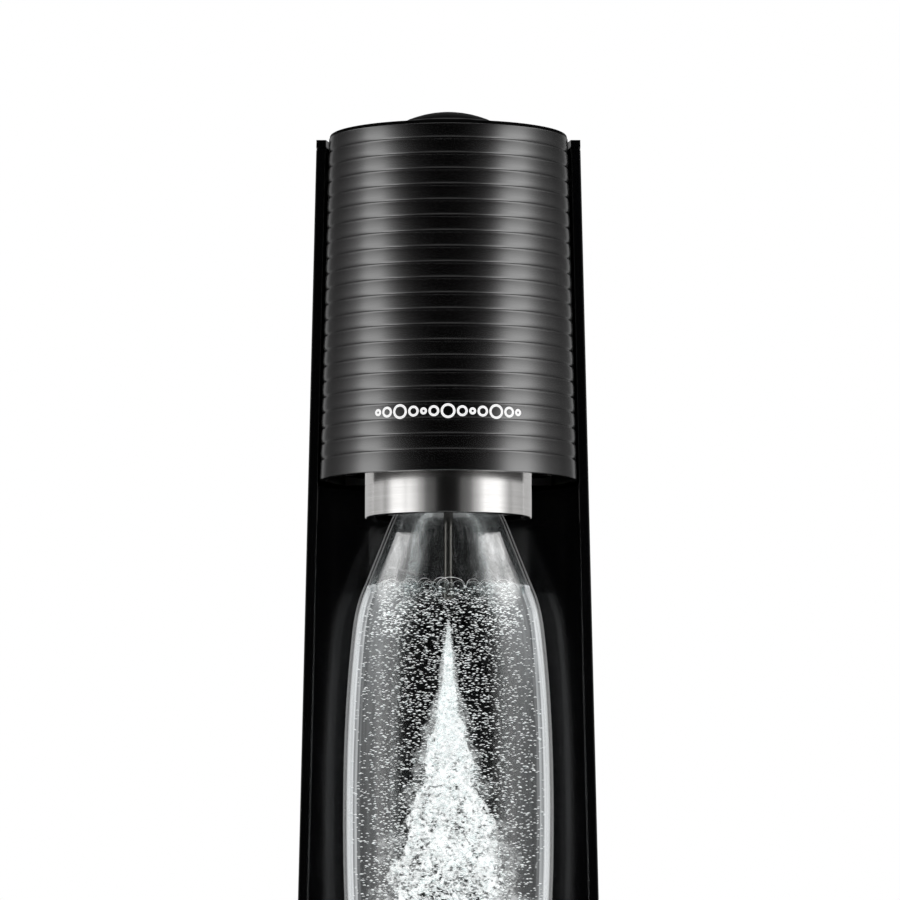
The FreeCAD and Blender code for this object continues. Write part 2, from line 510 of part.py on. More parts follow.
def quick_connect():
    y = "gas_axis"
    wings = box(("-post_outer", "post_outer"), ("post_back", "wing_back"), ("wing_low", "wing_top"))
    bridge = box(("-yoke_bridge", "yoke_bridge"), ("post_back", "gas_axis - 6"), ("wing_low", "wing_top"))
    bosses = cross_rod("handle_hub + 0.5", "-handle_inner + 0.9", "handle_inner - 0.9", y, "handle_axis")
    body = join(rod("yoke_radius", "yoke_low", "yoke_waist", y=y),
                rod("yoke_neck", "yoke_waist - 1", "yoke_top", y=y),
                cone("yoke_radius", "yoke_neck", "yoke_waist", "yoke_waist + 6", y=y),
                wings, bridge, bosses)
    bore = rod("yoke_bore", "yoke_low - 1", "yoke_roof - 3", y=y)
    throat = rod("valve_nose + 0.6", "yoke_low", "yoke_roof", y=y)
    slide = rod("plunger_radius + 0.06", "yoke_roof - 1", "yoke_top + 1", y=y)
    port = deep_rod("tube_bore", "post_back - 1", "gas_axis", 0, "port_height")
    hinge = [cross_rod("handle_pin", *sorted((f"{i} * (yoke_bore + 4)", f"{i} * 30"), key=value),
                       y, "handle_axis") for i in SIDES]
    clear = [deep_rod("screw_clear", "post_back - 1", "wing_back + 1", f"{i} * 46", 359) for i in SIDES]
    node("quick_connect_yoke", cut(body, bore, throat, slide, port, *hinge, *clear))
    node("handle_pins", group(*(
        cross_rod("handle_pin", *sorted((f"{i} * (yoke_bore + 4)", f"{i} * (handle_outer + 1)"), key=value),
                  y, "handle_axis") for i in SIDES)))
    node("yoke_screws", group(*(
        join(deep_rod("screw_head", "wing_back", "wing_back + 2", f"{i} * 46", 359),
             deep_rod("screw_shank", "post_back - 6.5", "wing_back", f"{i} * 46", 359)) for i in SIDES)))
    node("socket_seal", tube("seal_outer", "seal_inner", "seal_low", "yoke_roof", y=y))
    node("valve_plunger", join(rod("plunger_radius", "plunger_low", "plunger_shoulder", y=y),
                               rod("plunger_head", "plunger_shoulder", "plunger_top", y=y)))
    node("plunger_spring", coil("PlungerCoil", "plunger_coil", "plunger_wire", "yoke_top + 0.05",
                                "plunger_shoulder - 0.05", 5, y=y))

    low, high = "handle_axis - handle_half", "handle_axis + handle_half"
    ring = overlap(tube("handle_outer", "handle_inner", low, high, y=y),
                   box(("-40", "40"), (y, "gas_axis + 40"), (f"{low} - 1", f"{high} + 1")))
    hubs = [cross_rod("handle_hub", *sorted((f"{i} * handle_inner", f"{i} * handle_outer"), key=value),
                      y, "handle_axis") for i in SIDES]
    tab = box(("-tab_half", "tab_half"), ("gas_axis + handle_inner + 2.6", "gas_axis + handle_outer - 0.6"),
              ("handle_axis - tab_drop", high))
    bore = cross_rod("handle_pin + pin_play", -40, 40, y, "handle_axis")
    node("quick_connect_handle", cut(join(ring, *hubs, tab), bore))


def rear_cover():
    skin = cut(rounded_tower(0, "cover_low", "cover_top", 0),
               rounded_tower("cover_wall", "cover_low - 5", "cover_top + 5", -5),
               box(("-90", "90"), ("-60", "cover_front"), ("0", "440")))
    window = box(("-latch_half - latch_gap", "latch_half + latch_gap"), ("70", "100"),
                 ("latch_low - latch_gap", "latch_top + latch_gap"))
    node("rear_cover", cut(skin, window))
    node("cover_latch", join(
        box(("-latch_half", "latch_half"), ("latch_lip", "latch_face"), ("latch_low", "latch_top")),
        box(("-latch_lip_half", "latch_lip_half"), ("latch_lip", "latch_lip + latch_lip_thick"),
            ("latch_low - 2", "latch_top + 2"))))


def cradle():
    cup = cut(rod("cradle_radius", "cradle_low", "cradle_roof"),
              rod("cradle_inner", "cradle_low - 1", "cradle_ceiling"),
              rod("cradle_hole", "cradle_low", "cradle_roof + 1"))
    arms = [box(tuple(sorted((f"{i} * arm_inner", f"{i} * arm_outer"), key=value)),
                ("arm_front", "arm_back"), ("cradle_ceiling", "arm_top")) for i in SIDES]
    skirt = rod("cradle_radius + 1", "collar_steel_top + 0.4", "cradle_roof")
    skirt = cut(skirt, rod("cradle_inner", "cradle_low", "cradle_ceiling"), rod("cradle_hole", 280, 330))
    seat = rod("relief_bore", "cradle_ceiling - 1", "cradle_roof + 1", "relief_across")
    pivot = cross_rod("trunnion + 0.06", -40, 40, "cradle_pivot", "cradle_axis")
    node("cradle", cut(join(cup, skirt, *arms), pivot, seat))
    r, low, c = "collar_steel", "collar_steel_low", "collar_corner"
    node("snap_collar", turned([
        ("collar_lip", low), (f"{r} - {c}", low), (r, f"{low} + {c}", f"-0.29 * {c}"),
        (r, "collar_steel_top"), ("cradle_radius", "collar_steel_top"),
        ("cradle_radius", f"{low} + 1"), ("collar_lip", f"{low} + 1")]))


def nozzle():
    block = join(rod("nozzle_radius", "nozzle_low", "cradle_roof + 1"),
                 rod("nozzle_flange", "cradle_roof", "nozzle_flange_top"),
                 rod("nozzle_stack", "nozzle_flange_top - 1", "nozzle_top"))
    node("nozzle_block", cut(block, rod("tube_radius", "nozzle_low - 1", "tube_top"),
                             rod("tube_bore", "nozzle_low", "nozzle_top + 1")))
    node("bottle_seal", tube("mouth_seal_outer", "mouth_seal_inner", "mouth_seal_low", "nozzle_low"))
    node("neck_guide", tube("cradle_inner - 0.04", "jaw_inner", "jaw_low", "jaw_top"))
    node("carbonation_tube", tube("tube_radius", "tube_bore", "tube_low", "tube_top"))
    node("nozzle_tip", cut(
        join(rod("tip_radius", "tip_low + 1.2", "tube_low + 3"),
             cone("tube_bore", "tip_radius", "tip_low", "tip_low + 1.2")),
        rod("tube_radius", "tube_low", "tube_low + 4"), rod(0.5, "tip_low - 1", "tube_low + 1")))
    x = "relief_across"
    node("relief_housing", cut(rod("relief_radius", "cradle_roof", "relief_top", x),
                               rod("relief_bore", "cradle_roof - 1", "relief_roof", x),
                               rod(1, "relief_roof - 1", "relief_top + 1", x)))
    node("relief_poppet", rod("poppet_radius", "poppet_low", "poppet_top", x))
    node("relief_spring", coil("ReliefCoil", "relief_coil", "relief_wire", "poppet_top + 0.05",
                               "relief_roof - 0.05", 5, x))


def pipes():
    height, pivot = "port_height", "cradle_pivot"
    node("gas_pipe", pipe("GasPipe", (
        (0, "post_back", height), (0, "pipe_front", height), ("-pipe_across", "pipe_front", height),
        ("-pipe_across", "pipe_front", "cradle_axis"),
        ("-pipe_across", f"{pivot} + trunnion", "cradle_axis")), "pipe_radius", "tube_bore"))
    union = cut(deep_rod("union_radius", "post_front + 1", "post_back", 0, height),
                deep_rod("pipe_radius", "post_front", "post_back + 1", 0, height))
    node("pipe_union", union)
    node("cradle_pipe", pipe("CradlePipe", (
        ("-arm_inner", pivot, "link_height"), ("-link_across", pivot, "link_height"),
        ("-link_across", "bottle_axis", "link_height"), (0, "bottle_axis", "link_height"),
        (0, "bottle_axis", "nozzle_top")), "pipe_radius", "tube_bore"))


def bottle():
    def spot(radius, height):
        return FreeCAD.Vector(value(radius), 0, value(height))

    def filled(inset, corners):
        """A solid turned from the bottle's curve, moved inwards, and straight runs back to its axis."""
        curve = Part.BSplineCurve()
        curve.interpolate([spot(f"{n}_radius - {inset}", f"{n}_height") for n, _, _ in BOTTLE_CURVE])
        points = [curve.EndPoint] + [spot(*c) for c in corners] + [curve.StartPoint]
        edges = [curve.toShape()] + [Part.makeLine(a, b) for a, b in zip(points, points[1:])]
        return Part.Face(Part.Wire(edges)).revolve(FreeCAD.Vector(), FreeCAD.Vector(0, 0, 1), 360)

    side, floor = "cup_radius - cup_wall", "bottle_low"
    outer = filled("0", [
        (side, f"{floor} + 9"), (f"{side} - 1.6", f"{floor} + 2.2"), (f"{side} - 6", floor),
        (f"{side} - 14", floor), (f"{side} - 24", f"{floor} + 5"), (0, f"{floor} + 6"),
        (0, "bottle_top"), ("neck_radius", "bottle_top"), ("neck_radius", "ring_top"),
        ("neck_ring", "ring_top"), ("neck_ring", "ring_low"), ("neck_radius + 0.6", "ring_low")])
    inner = filled("bottle_wall", [
        (f"{side} - 1.3", f"{floor} + 9"), (f"{side} - 2.8", f"{floor} + 3"),
        (f"{side} - 6.5", f"{floor} + 1.3"), (f"{side} - 13.5", f"{floor} + 1.3"),
        (f"{side} - 24", f"{floor} + 6.4"), (0, f"{floor} + 7.4"), (0, "bottle_top + 1"),
        ("neck_radius - 2", "bottle_top + 1"), ("neck_radius - 2", "ring_low - 1")])
    item = doc.addObject("Part::Feature", "BottleSkin")
    item.Shape = outer.cut(inner)
    node("bottle", place(item, (0, "bottle_axis", 0)))
    node("bottle_base_cup", turned([
        (0, "cup_low"), ("cup_radius - 3", "cup_low"), ("cup_radius", "cup_low + 3", "-0.88"),
        ("cup_radius", "cup_low + cup_height"), ("cup_radius - cup_wall + 0.35", "cup_low + cup_height"),
        ("cup_radius - cup_wall + 0.06", "bottle_low + 9"),
        ("cup_radius - cup_wall - 1.54", "bottle_low + 2.14"),
        ("cup_radius - cup_wall - 5.94", "bottle_low - 0.04"), (0, "bottle_low - 0.04")]))


for build in (base, front_housing, inner_frame, head, button, lever, gas_cylinder, quick_connect,
              rear_cover, cradle, nozzle, pipes, bottle):
    build()
doc.recompute()

bad = [o.Label for o in doc.Objects if {"Invalid", "Error"} & set(o.State)]
bad += [n for n, o in nodes.items() if o.Shape.isNull() or not o.Shape.isValid()]
if bad:
    raise SystemExit("failed: " + ", ".join(bad))

os.makedirs("parts", exist_ok=True)
for name, item in nodes.items():
    item.Shape.exportStep(f"parts/{name}.step")
    print(f"{name}: {len(item.Shape.Solids)} solid, {item.Shape.Volume / 1000:.2f} cm3")
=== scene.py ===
import json
import math
import random

import bpy
import bmesh
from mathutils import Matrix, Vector, noise


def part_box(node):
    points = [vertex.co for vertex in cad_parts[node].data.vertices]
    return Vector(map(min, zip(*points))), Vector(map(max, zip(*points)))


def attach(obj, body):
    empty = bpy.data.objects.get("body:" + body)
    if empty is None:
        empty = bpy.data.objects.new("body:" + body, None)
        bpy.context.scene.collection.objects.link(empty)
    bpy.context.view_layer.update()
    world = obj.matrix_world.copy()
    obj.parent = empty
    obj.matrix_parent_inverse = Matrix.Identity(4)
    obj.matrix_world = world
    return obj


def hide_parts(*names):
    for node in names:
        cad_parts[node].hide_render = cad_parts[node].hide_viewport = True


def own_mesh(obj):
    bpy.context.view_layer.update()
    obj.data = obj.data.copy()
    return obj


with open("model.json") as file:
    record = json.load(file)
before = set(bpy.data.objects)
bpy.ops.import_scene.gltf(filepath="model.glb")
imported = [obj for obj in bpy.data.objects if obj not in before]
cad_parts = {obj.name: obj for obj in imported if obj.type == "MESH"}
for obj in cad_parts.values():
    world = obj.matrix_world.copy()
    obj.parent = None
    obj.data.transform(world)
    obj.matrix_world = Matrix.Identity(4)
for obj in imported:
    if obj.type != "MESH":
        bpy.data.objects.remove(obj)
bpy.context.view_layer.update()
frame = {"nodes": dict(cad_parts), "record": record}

nodes = frame["nodes"]
scene = bpy.context.scene
MM = 0.001

# The head, collar and bottle turn about one upright line, the bottle axis.
AXIS_Y = (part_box("snap_collar")[0].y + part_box("snap_collar")[1].y) / 2 / MM

# Heights in metres that the looks of the filled bottle turn on.
DEEP, FROTH_HIGH, WATER_HIGH = 0.10, 0.19, 0.22
WET_WALL, DRY_WALL = 0.214, 0.227
JET_FULL, JET_FRESH = 0.199, 0.206


# ---------------------------------------------------------------- node helpers

def tree_of(name):
    material = bpy.data.materials.new(name)
    material.use_nodes = True
    tree = material.node_tree
    tree.nodes.clear()
    return material, tree


def put(tree, kind, inputs=(), **settings):
    """A node with its settings, and its inputs by name or number: a socket is linked, a value is set."""
    made = tree.nodes.new(kind)
    for key, setting in settings.items():
        setattr(made, key, setting)
    for key, given in dict(inputs).items():
        if isinstance(given, bpy.types.NodeSocket):
            tree.links.new(given, made.inputs[key])
        else:
            made.inputs[key].default_value = given
    return made


def ramp(tree, factor, stops):
    """A colour ramp: stops are (place, grey) or (place, colour)."""
    made = put(tree, "ShaderNodeValToRGB", {"Fac": factor})
    elements = made.color_ramp.elements
    while len(elements) < len(stops):
        elements.new(0.5)
    for element, (place, tone) in zip(elements, stops):
        element.position = place
        element.color = (*tone, 1) if isinstance(tone, tuple) else (tone, tone, tone, 1)
    return made.outputs["Color"]


def math_node(tree, operation, a, b=0.0, clamp=False):
    return put(tree, "ShaderNodeMath", {0: a, 1: b}, operation=operation, use_clamp=clamp).outputs[0]


def object_noise(tree, scale, stretch=(1, 1, 1), detail=3.0):
    """Noise in the part's own frame, stretched along an axis by a smaller number there."""
    where = put(tree, "ShaderNodeTexCoord").outputs["Object"]
    scaled = put(tree, "ShaderNodeMapping", {"Vector": where, "Scale": stretch}).outputs[0]
    return put(tree, "ShaderNodeTexNoise",
               {"Vector": scaled, "Scale": scale, "Detail": detail}).outputs["Fac"]


def bumps(tree, height, painted_glow_strength, distance):
    return put(tree, "ShaderNodeBump",
               {"Height": height, "Strength": painted_glow_strength, "Distance": distance}).outputs[0]


def height_of(tree):
    """The height above the foot, in metres."""
    return put(tree, "ShaderNodeSeparateXYZ",
               {0: put(tree, "ShaderNodeTexCoord").outputs["Object"]}).outputs["Z"]


def finish_surface(tree, shader):
    put(tree, "ShaderNodeOutputMaterial", {"Surface": shader})


def solid_material(name, color, rough, spread=0.05, shade=0.15, grain=900, bump=0.05, depth=0.00004,
                   stretch=(1, 1, 1), mottle=35, **sockets):
    """An opaque surface: mottled colour, uneven roughness and a fine grain."""
    material, tree = tree_of(name)
    broad = object_noise(tree, mottle)
    fine = object_noise(tree, grain, stretch)
    dark = tuple(c * (1 - shade) for c in color)
    light = tuple(min(1.0, c * (1 + shade)) for c in color)
    tint = ramp(tree, broad, [(0.3, dark), (0.7, light)])
    both = math_node(tree, "ADD", math_node(tree, "MULTIPLY", broad, 0.5),
                     math_node(tree, "MULTIPLY", fine, 0.5))
    gloss = put(tree, "ShaderNodeMapRange", {"Value": both, "From Min": 0.3, "From Max": 0.7,
                                             "To Min": rough - spread, "To Max": rough + spread}).outputs[0]
    relief = bumps(tree, fine, bump, depth)
    shader = put(tree, "ShaderNodeBsdfPrincipled",
                 {"Base Color": tint, "Roughness": gloss, "Normal": relief, **sockets})
    finish_surface(tree, shader.outputs[0])
    return material


# ---------------------------------------------------------------- materials

def brushed_collar():
    """Stainless steel, brushed round the ring, so its scratches run level."""
    material, tree = tree_of("brushed_stainless")
    streaks = object_noise(tree, 1.0, (14, 14, 5200), 4)
    broad = object_noise(tree, 1.0, (30, 30, 160))
    tint = ramp(tree, math_node(tree, "ADD", math_node(tree, "MULTIPLY", streaks, 0.6),
                                math_node(tree, "MULTIPLY", broad, 0.4)),
                [(0.3, (0.62, 0.61, 0.60)), (0.7, (0.80, 0.79, 0.78))])
    gloss = put(tree, "ShaderNodeMapRange", {"Value": streaks, "To Min": 0.16, "To Max": 0.24}).outputs[0]
    relief = bumps(tree, streaks, 0.10, 0.00003)
    shader = put(tree, "ShaderNodeBsdfPrincipled",
                 {"Base Color": tint, "Roughness": gloss, "Normal": relief, "Metallic": 1.0})
    finish_surface(tree, shader.outputs[0])
    return material


def clear_wall_and_painted_edge():
    """Clear PET: see-through face on, with crisp reflections, and a painted highlight where it is edge on: a
    thin light-grey line that shines by its own emission, brighter above the water than below.
    """
    material, tree = tree_of("clear_pet")
    facing = put(tree, "ShaderNodeLayerWeight", {"Blend": 0.5}).outputs["Facing"]
    streak = object_noise(tree, 1.0, (330, 330, 7), 3)
    ripple = object_noise(tree, 1.0, (70, 70, 14), 2)
    relief = bumps(tree, ripple, 0.05, 0.0005)
    mirror = put(tree, "ShaderNodeBsdfGlossy", {"Color": (1, 1, 1, 1), "Roughness": 0.055, "Normal": relief})
    shine = ramp(tree, facing, [(0.0, 0.008), (0.08, 0.014), (0.15, 0.07), (0.25, 0.13), (0.5, 0.12),
                                (0.75, 0.12), (1.0, 0.22)])
    shine = math_node(tree, "MULTIPLY", shine, ramp(tree, streak, [(0.35, 0.6), (0.65, 1.5)]))
    dry = put(tree, "ShaderNodeMapRange",
              {"Value": height_of(tree), "From Min": WET_WALL, "From Max": DRY_WALL}).outputs[0]
    shine = math_node(tree, "MULTIPLY", shine, ramp(tree, dry, [(0.0, 0.28), (1.0, 1.6)]))
    clear = put(tree, "ShaderNodeBsdfTransparent", {"Color": (0.985, 0.99, 0.99, 1)})
    body = put(tree, "ShaderNodeMixShader", {0: shine, 1: clear.outputs[0], 2: mirror.outputs[0]})
    # Painted highlight: a light-grey shader with its own emission, mixed in where the wall is edge on.
    painted_edge_light = put(tree, "ShaderNodeBsdfPrincipled",
               {"Base Color": (0.6, 0.6, 0.6, 1), "Roughness": 0.3,
                "Emission Color": (1, 1, 1, 1), "Emission Strength": 0.25})
    dry_painted_rim = ramp(tree, facing, [(0.80, 0.0), (0.85, 0.30), (0.89, 0.04), (0.95, 0.45), (1.0, 0.25)])
    wet_painted_rim = ramp(tree, facing, [(0.62, 0.0), (0.72, 0.12), (0.90, 0.30), (1.0, 0.16)])
    # The painted edge highlight, one ramp below the water line and one above it.
    rim = put(tree, "ShaderNodeMixRGB", {0: dry, 1: wet_painted_rim, 2: dry_painted_rim}).outputs[0]
    shader = put(tree, "ShaderNodeMixShader", {0: rim, 1: body.outputs[0], 2: painted_edge_light.outputs[0]})
    finish_surface(tree, shader.outputs[0])
    return material


def bubble_with_painted_light(name, low, high, painted_rim_start, painted_rim_weight, painted_glow_strength):
    """A bubble in water: see-through, with a painted highlight, a white self-lit cap, on its upper side, and
    a painted light outline. The cap comes in as the surface turns up from low to high, the outline from
    painted_rim_start on."""
    material, tree = tree_of(name)
    up = put(tree, "ShaderNodeSeparateXYZ",
             {0: put(tree, "ShaderNodeNewGeometry").outputs["Normal"]}).outputs["Z"]
    facing = put(tree, "ShaderNodeLayerWeight", {"Blend": 0.5}).outputs["Facing"]
    patch = object_noise(tree, 420)
    # Painted highlight: the upper side turns white and self-lit as the surface faces up.
    lit = ramp(tree, up, [(low, 0.0), (high, 1.0)])
    rim = ramp(tree, facing, [(painted_rim_start, 0.0), (min(1.0, painted_rim_start + 0.2), painted_rim_weight)])
    rim = math_node(tree, "MULTIPLY", rim, ramp(tree, up, [(0.0, 0.15), (0.22, 1.0)]))
    amount = math_node(tree, "MAXIMUM", lit, rim)
    amount = math_node(tree, "MULTIPLY", amount, ramp(tree, patch, [(0.36, 0.4), (0.58, 1.0)]), True)
    inside = put(tree, "ShaderNodeNewGeometry").outputs["Backfacing"]
    amount = math_node(tree, "MULTIPLY", amount, math_node(tree, "SUBTRACT", 1.0, inside))
    # The painted light: a white shader with its own emission, at painted_glow_strength.
    white = put(tree, "ShaderNodeBsdfPrincipled",
                {"Base Color": (0.9, 0.9, 0.9, 1), "Roughness": 0.15,
                 "Emission Color": (1, 1, 1, 1), "Emission Strength": painted_glow_strength})
    clear = put(tree, "ShaderNodeBsdfTransparent", {"Color": (0.95, 0.96, 0.96, 1)})
    shader = put(tree, "ShaderNodeMixShader", {0: amount, 1: clear.outputs[0], 2: white.outputs[0]})
    finish_surface(tree, shader.outputs[0])
    return material


def froth_with_painted_glow(name, density, glow):
    """Froth in the jet: white with small dark pores, and a painted glow from its own emission; thinner where
    it is edge on and near the nozzle.
    """
    material, tree = tree_of(name)
    facing = put(tree, "ShaderNodeLayerWeight", {"Blend": 0.5}).outputs["Facing"]
    pores = object_noise(tree, 520, (1, 1, 1.2), 5)
    lumps = object_noise(tree, 130, (1, 1, 1), 3)
    cover = math_node(tree, "ADD", math_node(tree, "MULTIPLY", pores, 0.62),
                      math_node(tree, "MULTIPLY", lumps, 0.38))
    height = height_of(tree)
    higher = put(tree, "ShaderNodeMapRange", {"Value": height, "From Min": DEEP, "From Max": FROTH_HIGH,
                                              "To Min": -0.035, "To Max": 0.03}).outputs[0]
    cover = math_node(tree, "ADD", cover, higher)
    thick = ramp(tree, facing, [(0.0, 1.0), (0.35, 0.85), (0.75, 0.30), (1.0, 0.0)])
    thick = math_node(tree, "MULTIPLY", thick, density)
    amount = math_node(tree, "MULTIPLY", ramp(tree, cover, [(0.44, 0.0), (0.52, 0.75), (0.60, 1.0)]), thick)
    # White is the froth's own colour; its emission, set by glow, is painted light.
    white = put(tree, "ShaderNodeBsdfPrincipled",
                {"Base Color": (0.95, 0.95, 0.95, 1), "Roughness": 0.5,
                 "Emission Color": (1, 1, 1, 1), "Emission Strength": glow})
    fresh = put(tree, "ShaderNodeMapRange", {"Value": height, "From Min": JET_FULL, "From Max": JET_FRESH,
                                             "To Min": 1.0, "To Max": 0.35}).outputs[0]
    amount = math_node(tree, "MULTIPLY", amount, fresh)
    clear = put(tree, "ShaderNodeBsdfTransparent", {"Color": (1, 1, 1, 1)})
    shader = put(tree, "ShaderNodeMixShader", {0: amount, 1: clear.outputs[0], 2: white.outputs[0]})
    finish_surface(tree, shader.outputs[0])
    return material


def water_with_painted_light():
    """Water in the round: clear in front, with painted light mixed in as emission: a grey towards the sides,
    and painted bright strips where it bends light most, set apart for the left and right sides and changing
    with height.
    """
    material, tree = tree_of("water")
    facing = put(tree, "ShaderNodeLayerWeight", {"Blend": 0.5}).outputs["Facing"]
    streak = object_noise(tree, 1.0, (420, 420, 10), 3)
    normal = put(tree, "ShaderNodeSeparateXYZ",
                 {0: put(tree, "ShaderNodeNewGeometry").outputs["Normal"]})
    height = put(tree, "ShaderNodeMapRange",
                 {"Value": height_of(tree), "From Min": DEEP, "From Max": WATER_HIGH}).outputs[0]
    # The painted light is set apart for the side facing +x and the side facing -x, and fades with height.
    right = ramp(tree, normal.outputs["X"], [(0.0, 0.0), (0.1, 1.0)])
    grey = ramp(tree, facing, [(0.13, 0.0), (0.24, 0.06), (0.33, 0.085), (0.50, 0.09), (0.53, 0.01)])
    fade_left = ramp(tree, height, [(0.0, 0.5), (0.4, 0.75), (0.7, 0.95), (0.93, 1.6)])
    fade_right = ramp(tree, height, [(0.0, 0.22), (0.4, 0.3), (0.7, 0.9), (0.93, 2.0)])
    fade = put(tree, "ShaderNodeMixRGB", {0: right, 1: fade_left, 2: fade_right}).outputs[0]
    grey = math_node(tree, "MULTIPLY", grey, fade)
    painted_strip_left = ramp(tree, facing, [(0.555, 0.0), (0.57, 0.55), (0.66, 0.34), (0.76, 0.30), (0.80, 0.78),
                                     (0.86, 0.62), (0.90, 0.16), (1.0, 0.10)])
    painted_strip_right = ramp(tree, facing, [(0.49, 0.0), (0.52, 0.20), (0.57, 0.18), (0.60, 0.05), (0.645, 0.10),
                                      (0.67, 0.95), (0.86, 0.85), (0.92, 0.30), (1.0, 0.20)])
    painted_strip = put(tree, "ShaderNodeMixRGB", {0: right, 1: painted_strip_left, 2: painted_strip_right}).outputs[0]
    painted_water_light = math_node(tree, "MAXIMUM", grey, painted_strip)
    upright = ramp(tree, math_node(tree, "ABSOLUTE", normal.outputs["Z"]), [(0.60, 1.0), (0.85, 0.0)])
    painted_water_light = math_node(tree, "MULTIPLY", painted_water_light, upright)
    uneven = ramp(tree, streak, [(0.36, 0.62), (0.64, 1.2)])
    amount = math_node(tree, "MULTIPLY", painted_water_light, uneven, True)
    # The painted light: an emission mixed into the clear water.
    glow = put(tree, "ShaderNodeEmission", {"Color": (0.96, 0.98, 1.0, 1), "Strength": 0.85})
    clear = put(tree, "ShaderNodeBsdfTransparent", {"Color": (0.98, 0.99, 0.99, 1)})
    shader = put(tree, "ShaderNodeMixShader", {0: amount, 1: clear.outputs[0], 2: glow.outputs[0]})
    finish_surface(tree, shader.outputs[0])
    return material


SATIN = solid_material("satin_black", (0.0035, 0.0034, 0.0033), 0.21, 0.03, grain=2600, bump=0.10,
                       depth=0.00003, **{"IOR": 2.6})
GLOSS = solid_material("gloss_black", (0.003, 0.003, 0.0034), 0.13, 0.04, grain=60, bump=0.03,
                       depth=0.0002, **{"Specular IOR Level": 0.25, "Coat Weight": 0.12,
                                        "Coat Roughness": 0.04})
BUTTON = solid_material("dark_satin", (0.004, 0.004, 0.004), 0.16, 0.04, grain=900, bump=0.03,
                        **{"Specular IOR Level": 0.01})
STEEL = solid_material("plain_steel", (0.42, 0.42, 0.43), 0.32, 0.08, grain=500, stretch=(1, 1, 12),
                       **{"Metallic": 1.0})
# White print, with an emission that gives it a painted glow.
PRINT_WITH_PAINTED_GLOW = solid_material("white_print", (0.86, 0.86, 0.86), 0.5, 0.05, shade=0.03, grain=1500,
                       **{"Emission Color": (1, 1, 1, 1), "Emission Strength": 0.55})
SLOTS = {
    "gloss_black": GLOSS,
    "satin_black": SATIN,
    "stainless": brushed_collar(),
    "steel": STEEL,
    "spring_steel": solid_material("spring_steel", (0.50, 0.50, 0.50), 0.24, 0.06, stretch=(1, 1, 6),
                                   **{"Metallic": 1.0}),
    "white_lacquer": solid_material("white_lacquer", (0.74, 0.75, 0.76), 0.22, 0.05, shade=0.03, grain=140,
                                    bump=0.06, depth=0.0002, **{"Coat Weight": 0.4}),
    "brass": solid_material("machined_brass", (0.78, 0.56, 0.22), 0.28, 0.08, grain=300,
                            stretch=(1, 1, 16), **{"Metallic": 1.0}),
    "magenta": solid_material("magenta_plastic", (0.55, 0.012, 0.14), 0.34, 0.06, grain=1600, bump=0.08),
    "clear_tube": solid_material("tube_plastic", (0.16, 0.155, 0.145), 0.16, 0.05, grain=200,
                                 stretch=(1, 1, 0.05), **{"Metallic": 0.75}),
    "rubber": solid_material("rubber", (0.018, 0.018, 0.018), 0.72, 0.08, grain=1800, bump=0.3),
    "silicone": solid_material("silicone", (0.50, 0.51, 0.52), 0.55, 0.06, grain=900,
                               **{"Subsurface Weight": 0.1}),
    "nylon": solid_material("glass_filled_nylon", (0.10, 0.10, 0.105), 0.55, 0.08, grain=1500, bump=0.25),
    "acetal": solid_material("acetal", (0.68, 0.68, 0.66), 0.36, 0.05, shade=0.04, grain=1100, bump=0.08),
    "copper_pipe": solid_material("drawn_pipe", (0.55, 0.55, 0.56), 0.28, 0.07, grain=240,
                                  stretch=(8, 8, 1), **{"Metallic": 1.0}),
    "clear_pet": clear_wall_and_painted_edge(),
}

for part in frame["record"]["subparts"]:
    mesh = nodes[part["node"]].data
    mesh.materials.clear()
    mesh.materials.append(SLOTS[part["material_slot"]])
nodes["nozzle_tip"].data.materials[0] = SLOTS["clear_tube"]


# ---------------------------------------------------------------- shape helpers

CREASE, SOFT_CREASE, LOFT_CREASE = 28, 60, 35


def new_piece(name, mesh, body, material, replaced=()):
    """A finished mesh in the row frame becomes a piece that rides on a body."""
    piece = bpy.data.objects.new(name, mesh)
    scene.collection.objects.link(piece)
    mesh.materials.append(material)
    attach(piece, body)
    if replaced:
        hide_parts(*replaced)
    return piece


def finished(bm, name, crease=None):
    """The mesh that bm holds, facing outwards. With a crease, an edge is sharp where its two faces
    meet at more than that many degrees, and smooth elsewhere."""
    bmesh.ops.recalc_face_normals(bm, faces=bm.faces)
    if crease:
        bm.normal_update()
        for edge in bm.edges:
            edge.smooth = len(edge.link_faces) == 2 and edge.calc_face_angle(0) < math.radians(crease)
    mesh = bpy.data.meshes.new(name)
    bm.to_mesh(mesh)
    bm.free()
    return mesh


def rounded(corners, steps=4):
    """A closed outline of (point, sharp) with its corners rounded: each corner is (x, y) or
    (x, y, radius)."""
    points = []
    for i, corner in enumerate(corners):
        here = Vector(corner[:2])
        radius = corner[2] if len(corner) > 2 else 0
        if not radius:
            points.append((here, True))
            continue
        back = Vector(corners[i - 1][:2]) - here
        ahead = Vector(corners[(i + 1) % len(corners)][:2]) - here
        half_turn = back.angle(ahead) / 2
        reach = min(radius / math.tan(half_turn), back.length * 0.49, ahead.length * 0.49)
        start, end = here + back.normalized() * reach, here + ahead.normalized() * reach
        for k in range(steps + 1):
            t = k / steps
            points.append(((1 - t) ** 2 * start + 2 * t * (1 - t) * here + t ** 2 * end, False))
    return points


